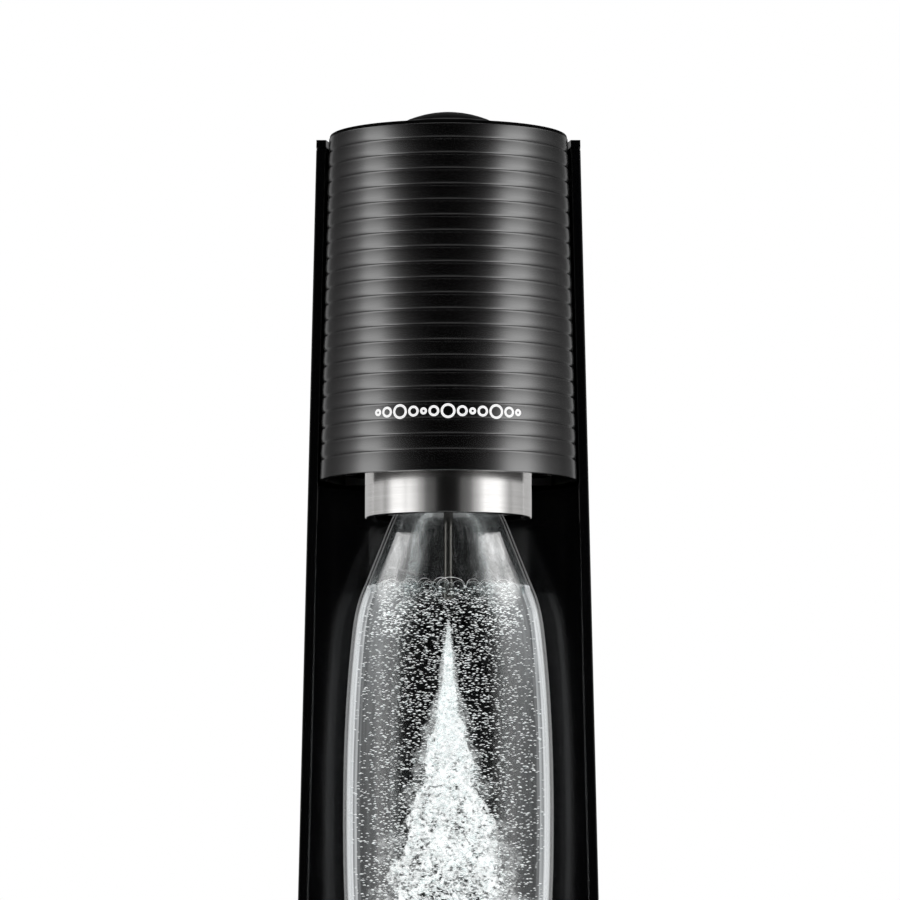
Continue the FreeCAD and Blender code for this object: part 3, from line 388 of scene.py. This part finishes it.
def lathe(name, outline, segments=240, sweep=360, start=0):
    """Turns a closed (radius, height) outline in millimetres about the bottle axis. Start and sweep
    are in degrees, from the front towards +x."""
    bm = bmesh.new()
    full = sweep == 360
    count = segments if full else segments + 1
    rings = []
    for k in range(count):
        turn = math.radians(start + sweep * k / segments)
        rings.append([bm.verts.new((MM * r * math.sin(turn), MM * (AXIS_Y - r * math.cos(turn)), MM * z))
                      for (r, z), _ in outline])
    size = len(outline)
    for k in range(segments):
        here, there = rings[k], rings[(k + 1) % count]
        for i in range(size):
            j = (i + 1) % size
            bm.faces.new((here[i], there[i], there[j], here[j])).smooth = True
    if not full:
        bm.faces.new(rings[0])
        bm.faces.new(list(reversed(rings[-1])))
    bmesh.ops.remove_doubles(bm, verts=bm.verts, dist=1e-8)
    return finished(bm, name, CREASE if any(hard for _, hard in outline) else SOFT_CREASE)


def loft(name, sections):
    """Joins level outlines, each a list of (x, y) at a height, into one capped solid."""
    bm = bmesh.new()
    rings = [[bm.verts.new((MM * x, MM * y, MM * z)) for x, y in outline] for z, outline in sections]
    for low, high in zip(rings, rings[1:]):
        for i in range(len(low)):
            j = (i + 1) % len(low)
            bm.faces.new((low[i], low[j], high[j], high[i])).smooth = True
    caps = [bm.faces.new(list(reversed(rings[0]))), bm.faces.new(rings[-1])]
    bmesh.ops.triangulate(bm, faces=caps)
    return finished(bm, name, LOFT_CREASE)


# ---------------------------------------------------------------- head

HEAD_TOP, HEAD_LOW, HEAD_WALL = 419.8, 272.0, 2.6
HEAD_RADIUS, HEAD_FLARE = 50.96, 0.0249
SHELL_TOP, REAR_LOW = 418.3, 405.0
GROOVE_FIRST, GROOVE_PITCH, GROOVES = 411.87, 6.58, 21
CROWN_INSET, CROWN_WALL = 0.25, 2.3
PLATE_LOW, PLATE_TOP, PLATE_RADIUS = 416.0, 418.8, 48.3
BUTTON_HOLE, BEZEL_RADIUS, BEZEL_TOP = 22.3, 25.0, 424.4
BUTTON_RADIUS, BUTTON_EDGE, BUTTON_RISE = 21.8, 424.5, 5.5


def head_radius(height):
    return HEAD_RADIUS + HEAD_FLARE * (HEAD_TOP - height)


def head_outline(lowest):
    """The ribbed wall down to a height: each rib is straight, then turns in to the groove below it.
    A rib's lower edge rolls in over about 2.5 mm, and the groove's floor is flat."""
    corners = [(head_radius(HEAD_TOP) - HEAD_WALL, SHELL_TOP), (head_radius(SHELL_TOP), SHELL_TOP, 0.2)]
    for k in range(GROOVES):
        z = GROOVE_FIRST - k * GROOVE_PITCH
        if z - 1 < lowest:
            break
        r = head_radius(z)
        corners += [(r - 0.02, z + 2.9), (r - 0.06, z + 2.2), (r - 0.15, z + 1.6), (r - 0.29, z + 1.1),
                    (r - 0.47, z + 0.72), (r - 0.68, z + 0.46), (r - 0.9, z + 0.38), (r - 0.9, z - 0.28),
                    (r - 0.03, z - 0.36, 0.10)]
    r = head_radius(lowest)
    corners += [(r, lowest, 0.6), (r - HEAD_WALL, lowest, 0.3)]
    return rounded(corners, 4)


# The ribs run round the front. Behind, where the tower starts, only the top of the wall goes on.
CUT_BEHIND, CUT_RADIUS = 28.0, 53.5
behind = math.degrees(math.acos(CUT_BEHIND / CUT_RADIUS))
shell = lathe("head_shell_front", head_outline(HEAD_LOW), 300, 2 * (180 - behind), -(180 - behind))
new_piece("ribbed_head", shell, "housing", SATIN, ["head_shell"])
rim = lathe("head_shell_rear", head_outline(REAR_LOW), 120, 2 * behind, 180 - behind)
new_piece("ribbed_head_rear_rim", rim, "housing", SATIN)

crown_radius = head_radius(HEAD_TOP) - CROWN_INSET
crown = lathe("head_crown", rounded([
    (crown_radius - CROWN_WALL, SHELL_TOP), (crown_radius, SHELL_TOP), (crown_radius, HEAD_TOP, 0.7),
    (crown_radius - CROWN_WALL, HEAD_TOP, 0.3)]))
new_piece("head_crown", crown, "housing", BUTTON)
plate = lathe("head_top", rounded([
    (BUTTON_HOLE, PLATE_LOW), (PLATE_RADIUS, PLATE_LOW), (PLATE_RADIUS, PLATE_TOP, 0.5),
    (BUTTON_HOLE, PLATE_TOP, 0.3)]))
new_piece("top_plate", plate, "housing", SATIN, ["head_top_plate"])
bezel = lathe("bezel", rounded([
    (BUTTON_HOLE, PLATE_TOP), (BEZEL_RADIUS, PLATE_TOP), (BEZEL_RADIUS, BEZEL_TOP, 1.3),
    (BUTTON_HOLE, BEZEL_TOP, 0.5)], 6))
new_piece("bezel_ring", bezel, "housing", GLOSS, ["button_bezel"])


def dome(radius):
    return BUTTON_EDGE + BUTTON_RISE * (1 - (radius / BUTTON_RADIUS) ** 2)


# The button's domed top, with a fine step near its rim, then its skirt and its hollow underside.
cap_points = [(Vector((r, dome(r))), False) for r in (0.001, 3, 6, 9, 12, 15, 17.5)]
cap_points += rounded([
    (19.4, dome(19.4), 0.35), (19.9, dome(19.4) - 0.7, 0.2), (BUTTON_RADIUS, 424.6, 0.9),
    (BUTTON_RADIUS, 412.5, 0.3), (19.8, 412.5), (19.8, 421.0), (15.0, 422.0), (5.0, 422.0),
    (5.0, 420.0), (0.001, 420.0)])
new_piece("press_button", lathe("press_button", cap_points), "button", BUTTON, ["button_cap"])


# ---------------------------------------------------------------- coil springs

CLOSED_PITCH = 2.06    # the rise of a closed turn, in wire radii


def coil_spring(name, node, wire, working):
    """A compression spring with closed ends in the place of a CAD one.
    Wire is the wire's radius, and working is how many turns stand apart."""
    low, high = (Vector(c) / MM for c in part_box(node))
    x, y, radius = (low.x + high.x) / 2, (low.y + high.y) / 2, (high.x - low.x) / 2 - wire
    closed, steps, sides = 1.0, 40, 12
    end_rise = closed * CLOSED_PITCH * wire
    pitch = (high.z - low.z - 2 * wire - 2 * end_rise) / working
    bm = bmesh.new()
    rings = []
    for k in range(round((working + 2 * closed) * steps) + 1):
        turn = k / steps
        middle = min(max(turn - closed, 0.0), working)
        rise = middle * pitch + (turn - middle) * end_rise / closed
        angle = 2 * math.pi * turn
        out = Vector((math.cos(angle), math.sin(angle), 0))
        at = Vector((x, y, low.z + wire + rise)) + out * radius
        rings.append([bm.verts.new(MM * (at + wire * (math.cos(a) * out + Vector((0, 0, math.sin(a))))))
                      for a in (2 * math.pi * i / sides for i in range(sides))])
    for here, there in zip(rings, rings[1:]):
        for i in range(sides):
            j = (i + 1) % sides
            bm.faces.new((here[i], here[j], there[j], there[i])).smooth = True
    bm.faces.new(rings[0])
    bm.faces.new(list(reversed(rings[-1])))
    mesh = finished(bm, name)
    piece = new_piece(name, mesh, "housing", SLOTS["spring_steel"], [node])
    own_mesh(piece)


coil_spring("return_spring", "button_spring", 0.7, 4.5)
coil_spring("valve_spring", "plunger_spring", 0.5, 3.5)


# ---------------------------------------------------------------- collar

COLLAR_LOW, COLLAR_TOP, COLLAR_INNER, COLLAR_OUTER = 256.2, 291.0, 35.0, 35.4
LIP_LOW, LIP_INNER, LIP_OUTER = 256.0, 31.0, 34.95

sleeve = lathe("collar", rounded([
    (COLLAR_INNER, COLLAR_LOW), (COLLAR_OUTER, COLLAR_LOW, 0.35), (COLLAR_OUTER, COLLAR_TOP, 0.2),
    (COLLAR_INNER, COLLAR_TOP)], 6), 300)
new_piece("steel_collar", sleeve, "bottle_cradle", SLOTS["stainless"], ["snap_collar"])
lip = lathe("collar_lip", rounded([
    (LIP_INNER, LIP_LOW, 0.3), (LIP_OUTER, LIP_LOW, 0.05), (LIP_OUTER, 259.0), (34.4, 259.0),
    (34.4, 257.1), (LIP_INNER, 257.1, 0.3)]))
new_piece("collar_lip", lip, "bottle_cradle", BUTTON)


# ---------------------------------------------------------------- tower

TOWER_HALF, BAY_RADIUS, TAPER = 65.85, 63.8, 0.0221
FRONT, SPLIT, WALL, BAY_Y = -30.0, 28.0, 4.25, -45.8
BAY_LOW, BAY_TOP, RAIL_TOP, BAY_BACK = 22, 270.5, 416, -8.0
BAY_SKIN = 2.5
RAIL_ROUNDING = ((414.6, 0), (415.1, 0.1), (415.55, 0.35), (415.85, 0.75), (RAIL_TOP, 1.3))


def half_width(height):
    return TOWER_HALF - TAPER * height


def bay_radius(height):
    return BAY_RADIUS - TAPER * height


def rail_outline(height, side, inset=0.0):
    """One side wall above the bay, in plan, drawn in by the inset; side is 1 for right, -1 for left."""
    w, front, back = half_width(height) - inset, FRONT + inset, SPLIT - inset
    inner = half_width(height) - WALL + inset
    corners = [(w, front, 0.9), (w, back, 0.4), (inner, back, 0.4), (inner, front, 0.9)]
    points = [tuple(p) for p, _ in rounded(corners, 4)]
    return [(side * x, y) for x, y in points][::side]


def bay_outline(height):
    """Both side walls and the concave wall between them, in plan, as one outline."""
    w, r = half_width(height), bay_radius(height)
    mouth = math.acos((FRONT - BAY_Y) / r)
    edge = r * math.sin(mouth)
    around = rounded([(edge, FRONT, 0.9), (w, FRONT, 0.9), (w, SPLIT, 0.4), (w - WALL, SPLIT, 0.4),
                      (w - WALL, BAY_BACK)], 4)
    right = [tuple(p) for p, _ in around[5:]]
    back = r + BAY_SKIN
    reach_back = math.asin(min(1.0, (w - WALL - 1.0) / back))
    outer = [(back * math.sin(t), BAY_Y + back * math.cos(t))
             for t in (reach_back * (1 - k / 20) for k in range(41))]
    left = [(-x, y) for x, y in reversed(right)]
    inner = [(r * math.sin(t), BAY_Y + r * math.cos(t))
             for t in (-mouth * (1 - k / 32) for k in range(1, 64))]
    start = [(-edge - 0.45, FRONT), (-edge - 0.1, FRONT + 0.12), (-edge + 0.15, FRONT + 0.45)]
    end = [(edge - 0.15, FRONT + 0.45), (edge + 0.1, FRONT + 0.12), (edge + 0.45, FRONT)]
    return end + right + outer + left + start + inner


heights = [BAY_LOW + (BAY_TOP - BAY_LOW) * k / 12 for k in range(13)]
bay = loft("bay", [(z, bay_outline(z)) for z in heights])
new_piece("bay_wall", bay, "housing", GLOSS, ["front_housing"])
for side, name in ((1, "rail_right"), (-1, "rail_left")):
    rail = loft(name, [(z, rail_outline(z, side, inset)) for z, inset in (
        (BAY_TOP, 0), (320, 0), (370, 0), *RAIL_ROUNDING)])
    new_piece(name, rail, "housing", GLOSS)


# ---------------------------------------------------------------- bottle

# The bottle's side, from the neck down: (height, radius).
BOTTLE = ((264.5, 17.6), (257.4, 23.2), (243.0, 29.2), (229.7, 34.55), (221.2, 38.0), (211.5, 40.2),
          (196.0, 41.9), (178.8, 43.2), (158.0, 44.15), (136.4, 44.55), (119.0, 44.5), (102.6, 44.2),
          (80.0, 43.2), (62.0, 41.9), (48.0, 40.4))
PET = 1.3


def smooth_curve(points, steps=8):
    """A curve through points, a cubic between each two."""
    out = []
    for i in range(len(points) - 1):
        a, b = points[max(i - 1, 0)], points[i]
        c, d = points[i + 1], points[min(i + 2, len(points) - 1)]
        for k in range(steps):
            t = k / steps
            out.append(tuple(0.5 * (2 * b[n] + (c[n] - a[n]) * t
                                    + (2 * a[n] - 5 * b[n] + 4 * c[n] - d[n]) * t * t
                                    + (3 * b[n] - a[n] - 3 * c[n] + d[n]) * t ** 3) for n in (0, 1)))
    out.append(points[-1])
    return out


side_curve = smooth_curve(BOTTLE)


def radius_at(profile, height, outside):
    """The radius of a profile of (height, radius), highest first, or another beyond its ends."""
    for (z1, r1), (z2, r2) in zip(profile, profile[1:]):
        if z2 <= height <= z1:
            return r1 + (r2 - r1) * (z1 - height) / (z1 - z2)
    return outside


def bottle_radius(height):
    return radius_at(side_curve, height, side_curve[-1][1])


outer = [(Vector((r, z)), False) for z, r in side_curve]
inner = [(Vector((r - PET, z)), False) for z, r in reversed(side_curve)]
foot = rounded([(40.0, 38.5, 3), (38.4, 31.7, 3), (34.0, 29.5, 3), (26.0, 29.5, 2), (16.0, 34.5, 4),
                (0.001, 35.5)], 5)
floor = rounded([(0.001, 36.9), (16.0, 35.9, 4), (26.5, 30.8, 2), (33.5, 30.8, 3), (37.2, 32.5, 3),
                 (38.7, 38.5, 3)], 5)
neck = rounded([(11.5, 269.0, 1), (11.5, 287.0, 0.3), (13.5, 287.0, 0.5), (13.5, 273.0), (17.0, 273.0, 0.4),
                (17.0, 270.0, 0.4), (14.1, 270.0, 0.4)], 4)
bottle = lathe("bottle", outer + foot + floor + inner + neck, 200)
new_piece("clear_bottle", bottle, "water_bottle", SLOTS["clear_pet"], ["bottle"])


# ---------------------------------------------------------------- water, foam and bubbles

random.seed(7)
WATER_LEVEL = 226.0
SMALL_GAP = 0.15
BUBBLE_CLEARANCE = 1.6    # from a small bubble's middle to the bottle's inner side
WALL_CLEARANCE = 5        # how far the jet stays inside the bottle's outer side

water_side = [(Vector((r - PET - SMALL_GAP, z)), False) for z, r in side_curve if z < WATER_LEVEL - 0.5]
water_top = [(Vector((0.001, WATER_LEVEL)), False),
             (Vector((bottle_radius(WATER_LEVEL) - PET - 2.2, WATER_LEVEL + 0.1)), False),
             (Vector((bottle_radius(WATER_LEVEL) - PET - SMALL_GAP, WATER_LEVEL + 0.9)), False)]
water_foot = [(Vector((r, z)), False) for r, z in ((38.4, 38.5), (37.0, 33.0), (33.4, 31.2), (26.6, 31.2),
                                                   (16.0, 36.3), (0.001, 37.3))]
water = lathe("water", water_top + water_side + water_foot, 160)
new_piece("water_fill", water, "water_bottle", water_with_painted_light())


def ball(detail):
    """The points and faces of a unit ball."""
    bm = bmesh.new()
    bmesh.ops.create_icosphere(bm, subdivisions=detail, radius=1)
    points = [v.co.copy() for v in bm.verts]
    faces = [[v.index for v in f.verts] for f in bm.faces]
    bm.free()
    return points, faces


def swarm(name, spots, detail, material, flat=1.0):
    """Many balls, each (x, y, z, radius) in millimetres, as one mesh; flat is their height to width."""
    points, faces = ball(detail)
    verts, polys = [], []
    for x, y, z, r in spots:
        first = len(verts)
        verts += [(MM * (x + p.x * r), MM * (y + p.y * r), MM * (z + p.z * r * flat)) for p in points]
        polys += [[first + i for i in f] for f in faces]
    mesh = bpy.data.meshes.new(name)
    mesh.from_pydata(verts, [], polys)
    mesh.polygons.foreach_set("use_smooth", [True] * len(polys))
    return new_piece(name, mesh, "water_bottle", material)


# The jet of gas, from the nozzle's tip down: (height, radius).
PLUME = ((213, 0.6), (204.3, 1.9), (196.6, 2.5), (189.8, 2.9), (182.4, 4.2), (173.3, 7.2), (164.8, 8.9),
         (156.5, 11.6), (144, 14.2), (131.5, 18.0), (119, 23.0), (106, 26.5), (98, 27.0), (80, 28.0),
         (60, 26.0), (44, 18.0))
PLUME_ABOVE = 0.5


def plume_radius(height):
    return radius_at(PLUME, height, PLUME_ABOVE)


def billow(turn, height):
    """The jet's outline swells and shrinks in lobes."""
    here = Vector((math.sin(turn), math.cos(turn), 0)) * plume_radius(height) * 0.09
    return noise.noise(here + Vector((3.7, 0.2, height * 0.085))) \
        + 0.5 * noise.noise(here * 2.4 + Vector((0.3, 5.1, height * 0.22)))


def scatter(count, low, high, spread, sizes, aside=False, front=False):
    """Bubbles through the water, thickest near the wall; aside keeps them to the front's two sides,
    and front gathers them round its middle."""
    spots = []
    while len(spots) < count:
        z = random.uniform(low, high)
        limit = bottle_radius(z) - PET - BUBBLE_CLEARANCE
        r = limit * random.random() ** spread
        turn = random.uniform(0, 2 * math.pi)
        if aside:
            turn = random.choice((-1, 1)) * math.radians(random.gauss(44, 9))
        elif front:
            turn = math.radians(random.gauss(0, 40))
        else:
            drift = noise.noise(Vector((3 * math.sin(turn), 3 * math.cos(turn), z * 0.07)))
            if drift < random.uniform(-0.9, 0):
                continue
        spots.append((r * math.sin(turn), AXIS_Y - r * math.cos(turn), z, random.choice(sizes)))
    return spots


SMALL_COUNT, SMALL_LOW, SMALL_SIZES = 2400, 48, (0.42, 0.5, 0.58, 0.66, 0.76, 0.9)
# The small bubbles carry painted highlights on their upper sides and painted light outlines.
painted_crescent = bubble_with_painted_light("small_bubble", 0.40, 0.62, 0.80, 0.30, 0.72)
for k in range(4):
    spots = scatter(SMALL_COUNT, SMALL_LOW, WATER_LEVEL - 1.0, 0.42, SMALL_SIZES, front=k > 1)
    swarm(f"small_bubbles_{k + 1}", spots, 2, painted_crescent)
# Bubbles at the front's two sides, with a broad painted highlight over most of their upper half.
swarm("glint_bubbles", scatter(500, 205, WATER_LEVEL + 0.6, 0.12, (0.4, 0.55, 0.7), True), 2,
      bubble_with_painted_light("glint_bubble", 0.05, 0.45, 0.6, 0.6, 0.9))

# Bubbles in and round the jet: closer together near the nozzle, and larger where the jet is wide.
JET_COUNT, JET_LOW, JET_LENGTH = 2300, 42, 168
jet = []
while len(jet) < JET_COUNT:
    z = JET_LOW + JET_LENGTH * random.random() ** 0.75
    turn = random.uniform(0, 2 * math.pi)
    edge = plume_radius(z) * (0.88 + 0.45 * billow(turn, z))
    r = edge * random.uniform(0.35, 1.08)
    if r > bottle_radius(z) - WALL_CLEARANCE:
        continue
    size = random.uniform(0.45, 1.0) * min(1.0, 0.45 + plume_radius(z) / 14)
    jet.append((r * math.sin(turn), AXIS_Y - r * math.cos(turn), z, size))
# The jet's bubbles carry painted highlights on their upper sides and painted light outlines.
swarm("gas_plume", jet, 2, bubble_with_painted_light("plume_bubble", -0.1, 0.5, 0.6, 0.5, 0.5))


def froth(name, top, shrink, widen, swell, shift, material):
    """One lumpy body along the jet: shrink of the jet's width at its top, with widen more once it is
    full grown, and swell for its lobes."""
    bm = bmesh.new()
    rounds, layers, grown, lowest, thinnest = 90, 140, 84, 46, 0.35
    rings = []
    for i in range(layers + 1):
        z = top - (top - lowest) * i / layers
        ring = []
        for k in range(rounds):
            turn = 2 * math.pi * k / rounds
            r = plume_radius(z) * (shrink + widen * min(1.0, i / grown) + swell * billow(turn, z + shift))
            r += 0.5 * noise.noise(Vector((r * math.sin(turn), r * math.cos(turn), z)) * 0.55)
            r = min(max(thinnest, r), bottle_radius(z) - WALL_CLEARANCE)
            ring.append(bm.verts.new((MM * r * math.sin(turn), MM * (AXIS_Y - r * math.cos(turn)), MM * z)))
        rings.append(ring)
    for upper, lower in zip(rings, rings[1:]):
        for k in range(rounds):
            j = (k + 1) % rounds
            bm.faces.new((upper[k], lower[k], lower[j], upper[j])).smooth = True
    bm.faces.new(rings[0])
    bm.faces.new(list(reversed(rings[-1])))
    new_piece(name, finished(bm, name), "water_bottle", material)


# Both froth bodies shine with a painted glow.
froth("froth_core", 212.5, 0.66, 0.12, 0.30, 0, froth_with_painted_glow("dense_froth", 1.0, 0.62))
froth("froth_halo", 206.0, 1.30, -0.30, 0.62, 41, froth_with_painted_glow("thin_froth", 0.36, 0.28))

# Foam on the water: rings of bubbles (inset from the wall, sizes), then a row of large ones in front.
foam = []
for inset, sizes in ((0.3, (1.0, 2.2)), (3.6, (2.0, 4.0)), (13.0, (1.6, 2.6))):
    turn = random.uniform(0, 1)
    while turn < 2 * math.pi:
        size = random.uniform(*sizes)
        r = bottle_radius(WATER_LEVEL + 2) - PET - size - inset
        foam.append((r * math.sin(turn), AXIS_Y - r * math.cos(turn), WATER_LEVEL - 0.2, size))
        turn += 2.2 * size / r
# Foam bubbles: painted light outlines and a painted highlight on their tops.
swarm("surface_foam", foam, 3, bubble_with_painted_light("foam_bubble", 0.90, 1.0, 0.62, 1.0, 0.7))

row = []
for x, size in ((1.0, 5.9), (-7.3, 2.4), (-13.3, 3.0), (-18.9, 2.4), (-23.2, 1.8),
                (10.1, 2.8), (17.1, 3.6), (22.4, 1.7)):
    reach = bottle_radius(WATER_LEVEL) - PET - size - 0.4
    row.append((x, AXIS_Y - math.sqrt(reach ** 2 - x ** 2), WATER_LEVEL - 0.4, size))
# The large front bubbles: painted light outlines, brighter still.
swarm("front_foam", row, 4, bubble_with_painted_light("front_foam", 0.97, 1.0, 0.72, 1.0, 1.2), 0.6)


# ---------------------------------------------------------------- printed motif on the head

MOTIF_COUNT, MOTIF_SIZES, MOTIF_START = 13, (1.5, 2.3, 3.1, 2.3), -31.0
LINE, SPACE, PRINT_PROUD = 1.0, 0.55, 0.06


def ring_print(bm, across, height, outer_radius, inner_radius, steps=40):
    """A flat printed ring that lies on the head's wall."""
    def spot(radius, k):
        turn = 2 * math.pi * k / steps
        x, z = across + radius * math.cos(turn), height + radius * math.sin(turn)
        r = head_radius(z) + PRINT_PROUD
        bend = x / r
        return bm.verts.new((MM * r * math.sin(bend), MM * (AXIS_Y - r * math.cos(bend)), MM * z))

    rings = [[spot(radius, k) for k in range(steps)] for radius in (outer_radius, inner_radius)]
    for k in range(steps):
        j = (k + 1) % steps
        bm.faces.new((rings[0][k], rings[0][j], rings[1][j], rings[1][k]))


bm = bmesh.new()
motif_z = GROOVE_FIRST - 17.5 * GROOVE_PITCH + 0.1
across = MOTIF_START
for k in range(MOTIF_COUNT):
    size, following = MOTIF_SIZES[k % 4], MOTIF_SIZES[(k + 1) % 4]
    ring_print(bm, across, motif_z, size, size - LINE)
    across += size + following + SPACE
new_piece("bubble_motif", finished(bm, "bubble_motif"), "housing", PRINT_WITH_PAINTED_GLOW)


# ---------------------------------------------------------------- stage, light and camera

bpy.ops.mesh.primitive_plane_add(size=8)
floor_plane = bpy.context.object
floor_plane.name = "studio_floor"
floor_plane.data.materials.append(solid_material("pale_floor", (0.90, 0.90, 0.90), 0.6, 0.05, shade=0.01,
                                                 grain=40, mottle=2, **{"Emission Color": (1, 1, 1, 1),
                                                                        "Emission Strength": 0.30}))
floor_plane.visible_glossy = False


ROOM_LIGHT = 1.7


def studio():
    """White to the camera. To the object it is a dark room with two tall soft boxes at its sides,
    each fading towards the front, dim panels behind and a lit ceiling. The stops are directions in
    degrees from the front, with their brightness."""
    world = bpy.data.worlds.new("studio")
    scene.world = world
    world.use_nodes = True
    tree = world.node_tree
    tree.nodes.clear()
    way = put(tree, "ShaderNodeSeparateXYZ", {0: put(tree, "ShaderNodeTexCoord").outputs["Generated"]})
    back = math_node(tree, "MULTIPLY", way.outputs["Y"], -1.0)
    turn = math_node(tree, "ARCTAN2", way.outputs["X"], back)
    drawn = ramp(tree, way.outputs["Z"], [(0.28, 1.0), (0.45, 0.68)])
    turn = math_node(tree, "MULTIPLY", turn, drawn)
    place = math_node(tree, "ADD", math_node(tree, "DIVIDE", turn, 2 * math.pi), 0.5)
    stops = [(-180, 0.02), (-170, 0.05), (-163, 0.5), (-155, 0.4), (-146, 0.12), (-130, 0.10), (-115, 0.15),
             (-99, 0.36), (-90, 0.75), (-84, 1.4), (-66, 1.45), (-60, 0.85), (-54, 0.5), (-48, 0.22),
             (-38, 0.08), (-29, 0.03), (-12, 0.004), (12, 0.006), (24, 0.03), (34, 0.08), (42, 0.22),
             (48, 0.6), (54, 1.25), (60, 1.6), (76, 1.6), (84, 1.0), (92, 0.55), (102, 0.26), (125, 0.12),
             (146, 0.14), (158, 0.5), (170, 0.05)]
    around = ramp(tree, place, [(degrees / 360 + 0.5, level / ROOM_LIGHT) for degrees, level in stops])
    above = ramp(tree, way.outputs["Z"], [(0.0, 1.0), (0.10, 1.0), (0.19, 0.8), (0.30, 0.55), (0.40, 0.7),
                                          (0.50, 1.0), (0.75, 1.0), (1.0, 0.3)])
    level = put(tree, "ShaderNodeMixRGB", {0: 1.0, 1: around, 2: above}, blend_type="MULTIPLY").outputs[0]
    overhead = ramp(tree, way.outputs["Z"], [(0.93, 0.0), (0.96, 1.0)])
    level = put(tree, "ShaderNodeMixRGB", {0: 1.0, 1: level, 2: overhead}, blend_type="LIGHTEN").outputs[0]
    under = ramp(tree, math_node(tree, "MULTIPLY", way.outputs["Z"], -1.0), [(0.4, 0.0), (0.75, 0.10)])
    level = put(tree, "ShaderNodeMixRGB", {0: 1.0, 1: level, 2: under}, blend_type="LIGHTEN").outputs[0]
    light = put(tree, "ShaderNodeBackground", {"Color": level, "Strength": ROOM_LIGHT})
    white = put(tree, "ShaderNodeBackground", {"Color": (1, 1, 1, 1), "Strength": 1.0})
    seen = put(tree, "ShaderNodeLightPath").outputs["Is Camera Ray"]
    mixed = put(tree, "ShaderNodeMixShader", {0: seen, 1: light.outputs[0], 2: white.outputs[0]})
    put(tree, "ShaderNodeOutputWorld", {"Surface": mixed.outputs[0]})


FILL_HEIGHT, FILL_CENTRE = 1.2, 0.273
PANEL_HEIGHT, PANEL_CENTRE, PANEL_REACH = 0.050, 0.275, 45.0


def collar_light(name, width, height, level, centre, way, distance):
    """A soft light that only the steel collar takes. Level is its brightness, whatever its size."""
    light = bpy.data.lights.new(name, "AREA")
    light.shape, light.size, light.size_y = "RECTANGLE", width, height
    light.energy = level * math.pi * width * height
    piece = bpy.data.objects.new(name, light)
    scene.collection.objects.link(piece)
    piece.location = Vector((0, MM * AXIS_Y, centre)) + way * distance
    piece.rotation_euler = way.to_track_quat("Z", "Y").to_euler()
    piece.visible_camera = False
    piece.light_linking.receiver_collection = collar_only


def collar_fill(start, end, level):
    """A tall light a metre away, between two directions in degrees: it evens the collar's bands."""
    turn = math.radians((start + end) / 2)
    way = Vector((math.sin(turn), -math.cos(turn), 0.09)).normalized()
    width = 2 * math.tan(math.radians(end - start) / 2)
    collar_light("collar_fill", width, FILL_HEIGHT, level, FILL_CENTRE, way, 1.0)


def collar_panel(side):
    """A small light inside the bay, beside the collar, for the collar's own edges."""
    reach, half, turn = PANEL_REACH * MM, math.radians(34), side * math.radians(116)
    way = Vector((math.sin(turn), -math.cos(turn), 0))
    width = 2 * reach * math.sin(half)
    collar_light("collar_panel", width, PANEL_HEIGHT, 0.55, PANEL_CENTRE, way, reach * math.cos(half))


collar_only = bpy.data.collections.new("collar_only")
collar_only.objects.link(bpy.data.objects["steel_collar"])
for start, end, level in ((-178, -100, 0.42), (-58, -42, 0.75), (-42, -33, 0.40), (-33, -17, 0.10),
                          (16, 33, 0.12), (33, 42, 0.45), (42, 54, 0.60), (98, 178, 0.40)):
    collar_fill(start, end, level)
collar_panel(-1)
collar_panel(1)
studio()
scene.view_settings.view_transform = "Standard"
scene.cycles.transparent_max_bounces = 40

CAMERA_AT, TILT_UP, LENS, SENSOR = (0.0007, -2.436, 0.071), 5.1, 226.4, 36

camera = bpy.data.objects.new("camera", bpy.data.cameras.new("camera"))
scene.collection.objects.link(camera)
camera.data.lens = LENS
camera.data.sensor_width = SENSOR
camera.data.clip_end = 20
camera.location = CAMERA_AT
camera.rotation_euler = (math.radians(90 + TILT_UP), 0, 0)
scene.camera = camera
